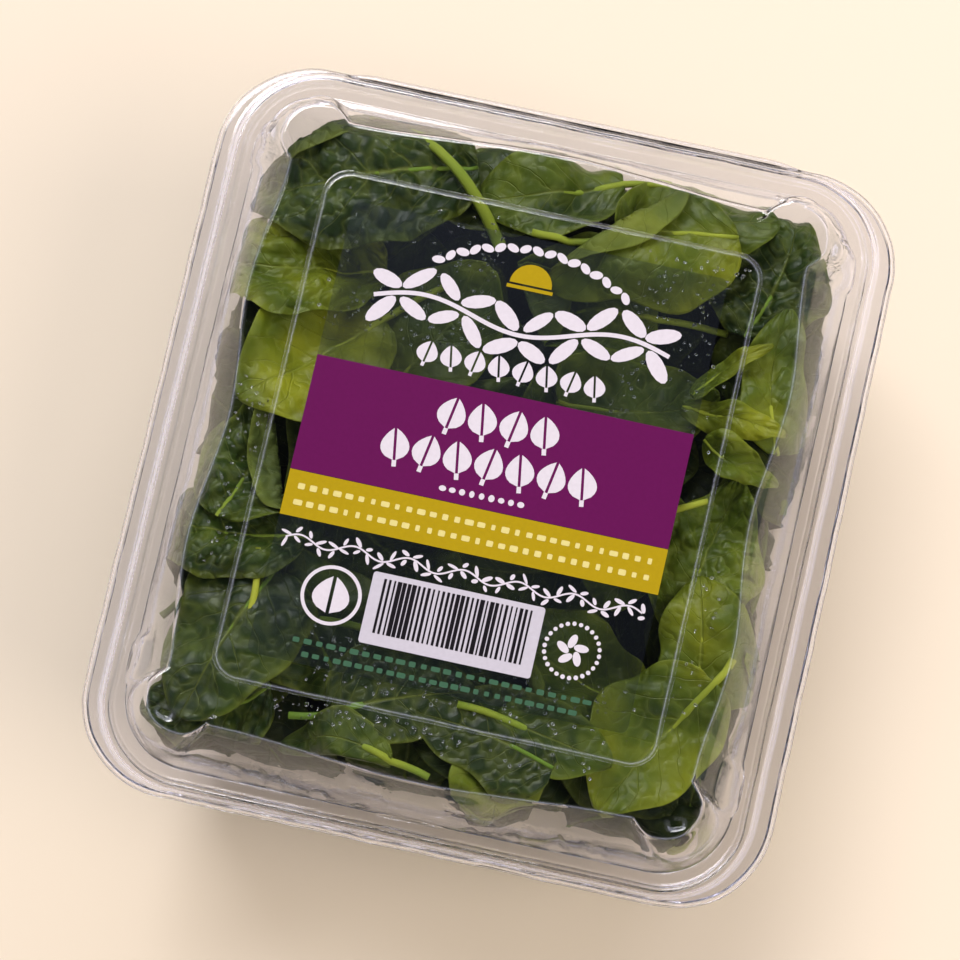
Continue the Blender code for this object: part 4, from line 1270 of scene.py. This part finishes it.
for stem in STEMS:
    loose_stem(top_leaves[1], *stem)
print("top leaves:", [len(mesh.finish(LEAF).data.polygons) for mesh in top_leaves])

# %% [markdown]
# ## The label
# The label is a clear film printed with solid inks: a purple band, a mustard one under it, and
# white print that floats over the leaves. Its print here is made up of leaves, bars and dots. An
# image could carry them, but real shapes keep sharp edges however near they are seen. The film is
# a thin closed skin, and each ink is a thinner one on it.

# %% Film
FILM_X, FILM_Y = LABEL_HIGH.x, LABEL_HIGH.y
FILM_Z = PANEL_TOP + 0.03 * MM
FILM_THICK = 0.06 * MM
FILM_CORNER = 2 * MM
INK_THICK = 0.03 * MM
ROUND_STEPS = 6                          # steps round a corner of a plate


def flat_plate(name, outlines, low, high):
    """A mesh of flat plates with the given outlines, between two heights."""
    shape = bmesh.new()
    for outline in outlines:
        corners = [shape.verts.new((x, y, low)) for x, y in outline]
        face = shape.faces.new(corners)
        face.normal_update()
        if face.normal.z > 0:
            face.normal_flip()
        grown = bmesh.ops.extrude_face_region(shape, geom=[face])
        lifted = [v for v in grown["geom"] if isinstance(v, bmesh.types.BMVert)]
        bmesh.ops.translate(shape, verts=lifted, vec=(0, 0, high - low))
    bmesh.ops.recalc_face_normals(shape, faces=shape.faces)
    mesh = bpy.data.meshes.new(name)
    shape.to_mesh(mesh)
    shape.free()
    return in_scene(name, mesh)


def round_box(x, y, half_x, half_y, radius, steps=ROUND_STEPS):
    """Outline of a rectangle with round corners."""
    points = []
    for quarter, (sx, sy) in enumerate(((1, 1), (-1, 1), (-1, -1), (1, -1))):
        for k in range(steps + 1):
            turn = (quarter + k / steps) * math.pi / 2
            points.append((x + sx * (half_x - radius) + radius * math.cos(turn),
                           y + sy * (half_y - radius) + radius * math.sin(turn)))
    return points


def box(x, y, half_x, half_y):
    """Outline of a rectangle with sharp corners."""
    return [(x + sx * half_x, y + sy * half_y) for sx, sy in ((-1, -1), (1, -1), (1, 1), (-1, 1))]


def film_material():
    """Clear label film: a thin grey tint and a cool satin gloss; lamps pass through."""
    material, tree, _ = new_material("clear_label_film")
    tree.nodes.clear()
    gloss = put(tree, "ShaderNodeBsdfGlossy", {"Color": ink("#c9d6f6"), "Roughness": 0.32})
    clear = put(tree, "ShaderNodeBsdfTransparent", {"Color": ink("#ebedec")})
    edge = put(tree, "ShaderNodeFresnel", {"IOR": 1.41})
    # Light isn't bent on its way in, so a face met from inside would wrongly mirror all of it.
    inside = put(tree, "ShaderNodeNewGeometry").outputs["Backfacing"]
    outside = put(tree, MATH, [1.0, inside], operation="SUBTRACT")
    share = put(tree, MATH, [edge, outside], operation="MULTIPLY")
    both = put(tree, "ShaderNodeMixShader", [share, clear, gloss])
    put(tree, "ShaderNodeOutputMaterial", {"Surface": both})
    return material


film = flat_plate("label_film", [round_box(0, 0, FILM_X, FILM_Y, FILM_CORNER)], FILM_Z, FILM_Z + FILM_THICK)
dress(film, film_material(), "lid")
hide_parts("label")
print("film, in mm:", round(2 * FILM_X / MM, 1), "by", round(2 * FILM_Y / MM, 1))

# %% Bands
INK_Z = FILM_Z + FILM_THICK + 0.01 * MM
OVER_Z = INK_Z + INK_THICK + 0.02 * MM   # where a second ink lies on a first
INK_SHADE = 0.86                         # how dark the darker grains of an ink are
INK_GRAIN = 1.111 * MM                   # coarser than a real ink's, so that it shows


def ink_material(name, code):
    """Printing ink on film: an even colour with a slight mottle and a satin gloss."""
    material, tree, skin = new_material(name)
    place = put(tree, "ShaderNodeTexCoord").outputs["Object"]
    grain = put(tree, "ShaderNodeTexNoise", {"Vector": place, "Scale": 1 / INK_GRAIN, "Detail": 2.0})
    dark = (*[v * INK_SHADE for v in ink(code)[:3]], 1.0)
    colour = put(tree, "ShaderNodeMix", [grain, dark, ink(code)], data_type="RGBA")
    feed(tree, skin, {"Base Color": colour, "Roughness": 0.28, "Specular IOR Level": 0.2})
    return material


def print_plates(name, outlines, z, material):
    """A layer of ink: plates on the label at a height."""
    return dress(flat_plate(name, outlines, z, z + INK_THICK), material, "lid")


WHITE_INK = ink_material("white_ink", "#dfd9e8")
CREAM_INK = ink_material("cream_ink", "#e2d68c")
PANEL_INK = ink_material("panel_white_ink", "#cbc7d8")
BLACK_INK = ink_material("black_ink", "#17141a")
GREEN_INK = ink_material("faint_green_ink", "#3f6650")
PURPLE_INK = ink_material("purple_ink", "#620c53")
MUSTARD_INK = ink_material("mustard_ink", "#b0960a")
print_plates("label_purple_band", [box(0, 3.5 * MM, FILM_X, 15.0 * MM)], INK_Z, PURPLE_INK)
print_plates("label_mustard_band", [box(0, -17.5 * MM, FILM_X, 5.9 * MM)], INK_Z, MUSTARD_INK)
print("label bands laid at", round(INK_Z, 5))

# %% [markdown]
# ## Print that repeats
# Dashes, dots, bars and leaflets each follow a path: a line, an arc, a ring or a wave. One node
# tree sets copies of a small shape along a path, turned along it and leaned to alternate sides,
# with sizes drawn between two limits. Every print on the label uses it, so the tree is built once.


# %% Parts that both geometry trees share
ONE = (1, 1, 1)


def tree_with_inputs(name, inputs, output):
    """A geometry tree with one output and inputs of (name, kind, value), and the inputs' sockets."""
    tree = bpy.data.node_groups.new(name, "GeometryNodeTree")
    for label, kind, value in inputs:
        socket = tree.interface.new_socket(label, in_out="INPUT", socket_type="NodeSocket" + kind)
        if value is not None:
            socket.default_value = value
    tree.interface.new_socket(output, in_out="OUTPUT", socket_type="NodeSocketGeometry")
    return tree, put(tree, "NodeGroupInput").outputs


def copies_on(tree, given, points, **turned):
    """Copies of the given shape on points, each with a size drawn between the two given."""
    size = put(tree, "FunctionNodeRandomValue", {0: given["Smallest"], 1: given["Largest"],
                                                 "Seed": given["Seed"]}, data_type="FLOAT_VECTOR")
    shape = put(tree, "GeometryNodeObjectInfo", {"Object": given["Shape"]}, transform_space="ORIGINAL")
    return put(tree, "GeometryNodeInstanceOnPoints", {
        "Points": points, "Instance": shape.outputs["Geometry"], "Scale": size, **turned})


def finish_tree(tree, copies, given):
    """Makes the copies real mesh of the given material, and the tree's output."""
    real = put(tree, "GeometryNodeRealizeInstances", [copies])
    put(tree, "NodeGroupOutput", [put(tree, "GeometryNodeSetMaterial", {
        "Geometry": real, "Material": given["Material"]})])
    return tree


def run_tree(piece, tree, values):
    """The piece as plain mesh, after a tree that is given values for its inputs."""
    step = piece.modifiers.new(tree.name, "NODES")
    step.node_group = tree
    for item in tree.interface.items_tree:
        if item.name in values:
            step[item.identifier] = values[item.name]
    return worked_out(piece)


print("a copy is left as it is by a size of", ONE)


# %% Tree that repeats a shape along a path
def repeat_tree():
    """Copies of a shape on a path's points, turned along it and leaned to alternate sides."""
    tree, given = tree_with_inputs("repeat_along", [
        ("Path", "Geometry", None), ("Shape", "Object", None), ("Count", "Int", 10), ("Lean", "Float", 0.0),
        ("Smallest", "Vector", ONE), ("Largest", "Vector", ONE), ("Seed", "Int", 0),
        ("Material", "Material", None)], "Print")
    path = put(tree, "GeometryNodeMeshToCurve", {"Mesh": given["Path"]})
    stops = put(tree, "GeometryNodeCurveToPoints", {"Curve": path, "Count": given["Count"]}, mode="COUNT")
    along = put(tree, "FunctionNodeAlignRotationToVector", {"Vector": stops.outputs["Tangent"]},
                axis="X", pivot_axis="Z")
    place = put(tree, "GeometryNodeInputIndex")
    side = put(tree, MATH, [place, 2.0], operation="MODULO")
    side = put(tree, MATH, [side, 2.0, -1.0], operation="MULTIPLY_ADD")
    turn = put(tree, MATH, [side, given["Lean"]], operation="MULTIPLY")
    lean = put(tree, "ShaderNodeCombineXYZ", {"Z": turn})
    copies = copies_on(tree, given, stops.outputs["Points"], Rotation=along)
    leaned = put(tree, "GeometryNodeRotateInstances", {"Instances": copies, "Rotation": lean})
    return finish_tree(tree, leaned, given)


REPEAT = repeat_tree()
print("nodes that repeat a shape:", len(REPEAT.nodes))


# %% Copies of a shape along a path
def path_object(name, points, closed=False):
    """A line of edges through points."""
    edges = [(k, k + 1) for k in range(len(points) - 1)]
    if closed:
        edges.append((len(points) - 1, 0))
    return mesh_piece(name, points, [], edges)


def repeat_along(name, points, shape, count, material, lean=0.0, smallest=ONE, largest=ONE,
                 seed=1, closed=False):
    """Copies of a shape along a path, as one print."""
    piece = run_tree(path_object(name, points, closed), REPEAT, {
        "Shape": shape, "Count": count, "Lean": lean, "Smallest": smallest, "Largest": largest, "Seed": seed,
        "Material": material})
    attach(piece, "lid")


print("what the tree is given:", [item.name for item in REPEAT.interface.items_tree])


# %% Paths on the label
def line_points(half, y, z):
    """The ends of a level line across the label."""
    return [(-half, y, z), (half, y, z)]


def arc_points(x, y, radius, start, end, z, count=48):
    """Points of an arc, from one angle to another in degrees."""
    turns = [math.radians(start + (end - start) * k / (count - 1)) for k in range(count)]
    return [(x + radius * math.cos(t), y + radius * math.sin(t), z) for t in turns]


def ring_points(x, y, radius, z):
    """Points of a whole ring, whose last point lies a step before its first."""
    return arc_points(x, y, radius, 0, 352.5, z)


def wave_points(half, y, high, waves, z, count=120):
    """Points of a level wave on the label."""
    return [(2 * half * k / count - half, y + high * math.sin(2 * math.pi * waves * k / count), z)
            for k in range(count + 1)]


def shifted(points, up, over):
    """The points moved up the label, and over it."""
    return [(x, y + up, z + over) for x, y, z in points]


print("points of a whole ring:", len(ring_points(0, 0, 1, 0)))


# %% Lines of ink
def ribbon(name, points, width, material, closed=False):
    """A flat line of ink along a path."""
    path = np.array(points)
    way = np.roll(path, -1, 0) - np.roll(path, 1, 0) if closed else np.gradient(path, axis=0)
    side = np.stack([-way[:, 1], way[:, 0], 0 * way[:, 0]], 1)
    side *= width / 2 / np.linalg.norm(side, axis=1, keepdims=True)
    up = np.array([0, 0, INK_THICK])
    corners = [path - side, path + side, path + side + up, path - side + up]
    count = len(path)
    faces = []
    for k in range(count if closed else count - 1):
        after = (k + 1) % count
        faces += [[e * count + k, e * count + after, (e + 1) % 4 * count + after, (e + 1) % 4 * count + k]
                  for e in range(4)]
    if not closed:
        faces += [[e * count for e in range(4)], [e * count + count - 1 for e in (3, 2, 1, 0)]]
    piece = mesh_piece(name, np.concatenate(corners).tolist(), faces)
    shape = bmesh.new()
    shape.from_mesh(piece.data)
    bmesh.ops.recalc_face_normals(shape, faces=shape.faces)
    shape.to_mesh(piece.data)
    shape.free()
    return dress(piece, material, "lid")


print("ink thickness in mm:", round(INK_THICK / MM, 3))


# %% Small shapes
def stamp(name, outlines):
    """A small flat shape that a repeat copies; it stands at the origin and isn't in the scene."""
    piece = flat_plate(name, outlines, 0.0, INK_THICK)
    bpy.context.scene.collection.objects.unlink(piece)
    return piece


def half_leaf(length, width, gap, side, steps=9):
    """Outline of one half of an upright leaf icon, beside its midrib."""
    edge = [(side * (gap / 2 + (width / 2) * math.sin(math.pi * (k / steps) ** 0.8) ** 0.8),
             length * (k / steps - 0.42)) for k in range(1, steps)]
    return [(side * gap / 2, -0.42 * length)] + edge + [(side * gap / 2, 0.58 * length)]


def leaf_icon(name, length, width, gap):
    """An upright leaf: two halves beside a midrib, and a short stem."""
    stem = box(0, -0.52 * length, gap * 0.8, 0.10 * length)
    return stamp(name, [half_leaf(length, width, gap, 1), half_leaf(length, width, gap, -1), stem])


def oval(half_x, half_y, steps=14):
    """Outline of an ellipse about the origin."""
    return [(half_x * math.cos(2 * math.pi * k / steps), half_y * math.sin(2 * math.pi * k / steps))
            for k in range(steps)]


DOT = stamp("dot", [oval(0.5 * MM, 0.5 * MM)])
DASH = stamp("dash", [round_box(0, 0, 0.5 * MM, 0.5 * MM, 0.2 * MM, 3)])
LEAFLET = stamp("leaflet", [oval(0.5 * MM, 0.24 * MM)])
BAR = stamp("bar", [box(0, 0, 0.5 * MM, 7.0 * MM)])
PETAL = stamp("petal", [[(x + 1.0 * MM, y) for x, y in oval(1.0 * MM, 1.9 * MM)]])
BIG_LEAF = leaf_icon("big_leaf", 8.2 * MM, 6.6 * MM, 0.7 * MM)
SMALL_LEAF = leaf_icon("small_leaf", 5.6 * MM, 4.9 * MM, 0.55 * MM)
print("small shapes:", [piece.name for piece in (DOT, DASH, LEAFLET, BAR, PETAL, BIG_LEAF, SMALL_LEAF)])

# %% White print over the leaves
SUN_Y, SUN_RADIUS = 47.2 * MM, 5.4 * MM
SUN_STEPS = 16
GARLAND = wave_points(38 * MM, 36.6 * MM, 2.6 * MM, 1.5, INK_Z)
UP_AND_LOW = ((1, "up"), (-1, "low"))
repeat_along("label_arc_leaflets", arc_points(0, 13.3 * MM, 43 * MM, 124, 56, INK_Z), LEAFLET, 17, WHITE_INK,
             lean=0.5, smallest=(3.0, 4.0, 1), largest=(3.6, 4.6, 1), seed=3)
sun_turns = [math.pi * k / SUN_STEPS for k in range(SUN_STEPS + 1)]
sun = [(SUN_RADIUS * math.cos(turn), SUN_Y + SUN_RADIUS * math.sin(turn)) for turn in sun_turns]
print_plates("label_sun", [sun, box(0, 46.2 * MM, 5.9 * MM, 0.45 * MM)], INK_Z, MUSTARD_INK)
ribbon("label_garland_stem", GARLAND, 1.1 * MM, WHITE_INK)
for (side, word), seed in zip(UP_AND_LOW, (5, 6)):
    lifted = shifted(GARLAND[4:-4], side * 4.0 * MM, 0.01 * MM * (side + 1))
    repeat_along("label_garland_leaves_" + word, lifted, LEAFLET, 10, WHITE_INK,
                 lean=side * 0.6, smallest=(8.0, 6.6, 1), largest=(9.6, 8.4, 1), seed=seed)
repeat_along("label_leaf_row", line_points(21.5 * MM, 24.6 * MM, INK_Z), SMALL_LEAF, 8, WHITE_INK, lean=0.18)
print("garland points:", len(GARLAND))

# %% Print on the purple and the mustard band
for number, (half, y, count, lean) in enumerate(((12, 10.2, 4, 0.16), (24, -0.6, 7, -0.16))):
    repeat_along(f"label_purple_row_{number + 1}", line_points(half * MM, y * MM, OVER_Z), BIG_LEAF, count,
                 WHITE_INK, lean=lean)
repeat_along("label_purple_dots", line_points(10 * MM, -8.4 * MM, OVER_Z), DOT, 9, WHITE_INK,
             smallest=(1.3, 1.3, 1), largest=(1.9, 1.9, 1))
for number, y in enumerate((-15.5, -19.7)):
    repeat_along(f"label_mustard_dashes_{number + 1}", line_points(44.5 * MM, y * MM, OVER_Z), DASH, 30,
                 CREAM_INK, smallest=(1.0, 1.3, 1), largest=(2.3, 1.6, 1), seed=11 + number)
print("rows on the bands laid at", round(OVER_Z, 5))

# %% Vine, bars and rings
VINE = wave_points(45.5 * MM, -28.8 * MM, 1.2 * MM, 6.5, INK_Z, 240)
LEFT_RING, RIGHT_RING = (-31.0 * MM, -41.0 * MM), (30.5 * MM, -41.8 * MM)
LEAF_IN_RING = 1.15                      # its size beside the outline's own
ribbon("label_vine", VINE, 0.45 * MM, WHITE_INK)
for (side, word), seed in zip(UP_AND_LOW, (21, 22)):
    repeat_along("label_vine_leaflets_" + word, shifted(VINE, side * 1.25 * MM, 0.02 * MM), LEAFLET, 31,
                 WHITE_INK, lean=side * 0.75, smallest=(1.7, 1.6, 1), largest=(3.1, 2.4, 1), seed=seed)
print_plates("label_bar_panel", [round_box(0, -41.8 * MM, 21.9 * MM, 9.2 * MM, 0.8 * MM)], INK_Z, PANEL_INK)
repeat_along("label_bars", line_points(18.6 * MM, -41.0 * MM, OVER_Z), BAR, 31, BLACK_INK,
             smallest=(0.35, 1, 1), largest=(1.15, 1, 1), seed=31)
ribbon("label_left_ring", ring_points(*LEFT_RING, 7.2 * MM, INK_Z), 0.9 * MM, WHITE_INK, closed=True)
halves = [half_leaf(8.2 * MM, 7.4 * MM, 0.8 * MM, side) for side in (-1, 1)]
icon = [[(LEFT_RING[0] + x * LEAF_IN_RING, LEFT_RING[1] + y * LEAF_IN_RING - 0.6 * MM) for x, y in half]
        for half in halves]
print_plates("label_left_leaf", icon, INK_Z, WHITE_INK)
repeat_along("label_right_ring", ring_points(*RIGHT_RING, 6.9 * MM, INK_Z), DOT, 26, WHITE_INK,
             smallest=(1.0, 1.0, 1), largest=(1.2, 1.2, 1), closed=True)
repeat_along("label_right_flower", ring_points(*RIGHT_RING, 2.2 * MM, INK_Z), PETAL, 5, WHITE_INK,
             closed=True)
for number, (y, half) in enumerate(((-53.7, 37.0), (-57.0, 34.0))):
    repeat_along(f"label_faint_dashes_{number + 1}", line_points(half * MM, y * MM, INK_Z), DASH, 26,
                 GREEN_INK, smallest=(1.2, 1.1, 1), largest=(2.4, 1.4, 1), seed=41 + number)

# %% [markdown]
# ## Condensed water
# Leaves breathe, and the water settles on the inside of the lid as fine drops in patches. Drops
# are scattered over flat patches just under the sheet, more thickly where a slow noise is high,
# and each is a squashed dome that hangs from it. Water has an IOR of 1.33.

# %% Drops under the lid
DROP_SIDES = 9
DROP_PROFILE = [(0.5, 0.0), (0.47, -0.16), (0.3, -0.34)]    # radius and height in mm
DROP_TIP = -0.41
DROPS_PER_AREA = 5.5e5
# Patches: low x, high x, low y, high y in mm, and how far under the panel's top.
WET = [(-52, -8, 26, 63, 0.52), (26, 53, 14, 63, 0.52), (-34, 50, -63, -49, 0.52),
       (57.5, 64, -52, -14, 1.52), (-40, 42, -74, -68, 1.52), (-66, -57.5, -40, 10, 1.52)]


def drop_shape():
    """A dome a millimetre across that hangs from its flat top; it stands at the origin."""
    turns = [2 * math.pi * k / DROP_SIDES for k in range(DROP_SIDES)]
    points = [(r * MM * math.cos(t), r * MM * math.sin(t), z * MM) for r, z in DROP_PROFILE for t in turns]
    points.append((0, 0, DROP_TIP * MM))
    after = [(k + 1) % DROP_SIDES for k in range(DROP_SIDES)]
    faces = [list(range(DROP_SIDES))]
    for ring in range(len(DROP_PROFILE) - 1):
        low, high = ring * DROP_SIDES, (ring + 1) * DROP_SIDES
        faces += [[low + k, high + k, high + n, low + n] for k, n in enumerate(after)]
    faces += [[high + k, len(points) - 1, high + n] for k, n in enumerate(after)]
    mesh = bpy.data.meshes.new("drop")
    mesh.from_pydata(points, [], faces)
    mesh.shade_smooth()
    return bpy.data.objects.new("drop", mesh)


def scatter_tree():
    """Drops on the faces of flat patches, more of them where a noise is high.

    The noise's scale of 90 makes its clusters about 11 mm across."""
    tree, given = tree_with_inputs("scatter_drops", [
        ("Patches", "Geometry", None), ("Shape", "Object", None), ("Density", "Float", 1e5),
        ("Cluster Scale", "Float", 90.0), ("Bare", "Float", 0.5), ("Smallest", "Vector", ONE),
        ("Largest", "Vector", ONE), ("Seed", "Int", 0), ("Material", "Material", None)], "Drops")
    place = put(tree, "GeometryNodeInputPosition")
    cloud = put(tree, "ShaderNodeTexNoise", {
        "Vector": place, "Scale": given["Cluster Scale"], "Detail": 2.0})
    share = put(tree, MATH, [cloud, given["Bare"]], operation="SUBTRACT")
    share = put(tree, MATH, [share, 6.0], operation="MULTIPLY", use_clamp=True)
    wet = put(tree, MATH, [share, given["Density"]], operation="MULTIPLY")
    spots = put(tree, "GeometryNodeDistributePointsOnFaces", {
        "Mesh": given["Patches"], "Density": wet, "Seed": given["Seed"]})
    return finish_tree(tree, copies_on(tree, given, spots), given)


corners = [(x * MM, y * MM, PANEL_TOP - down * MM) for x0, x1, y0, y1, down in WET
           for x, y in ((x0, y0), (x1, y0), (x1, y1), (x0, y1))]
patches = mesh_piece("lid_drops", corners, [[4 * k + c for c in range(4)] for k in range(len(WET))])
drops = run_tree(patches, scatter_tree(), {
    "Shape": drop_shape(), "Density": DROPS_PER_AREA, "Seed": 4, "Smallest": (0.25, 0.25, 0.3),
    "Largest": (1.05, 1.05, 0.9), "Material": clear_material("condensed_water", "#ffffff", 0.0, 1.33)})
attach(drops, "lid")
FACES_PER_DROP = 1 + DROP_SIDES * len(DROP_PROFILE)
print("drops:", len(drops.data.polygons) // FACES_PER_DROP)
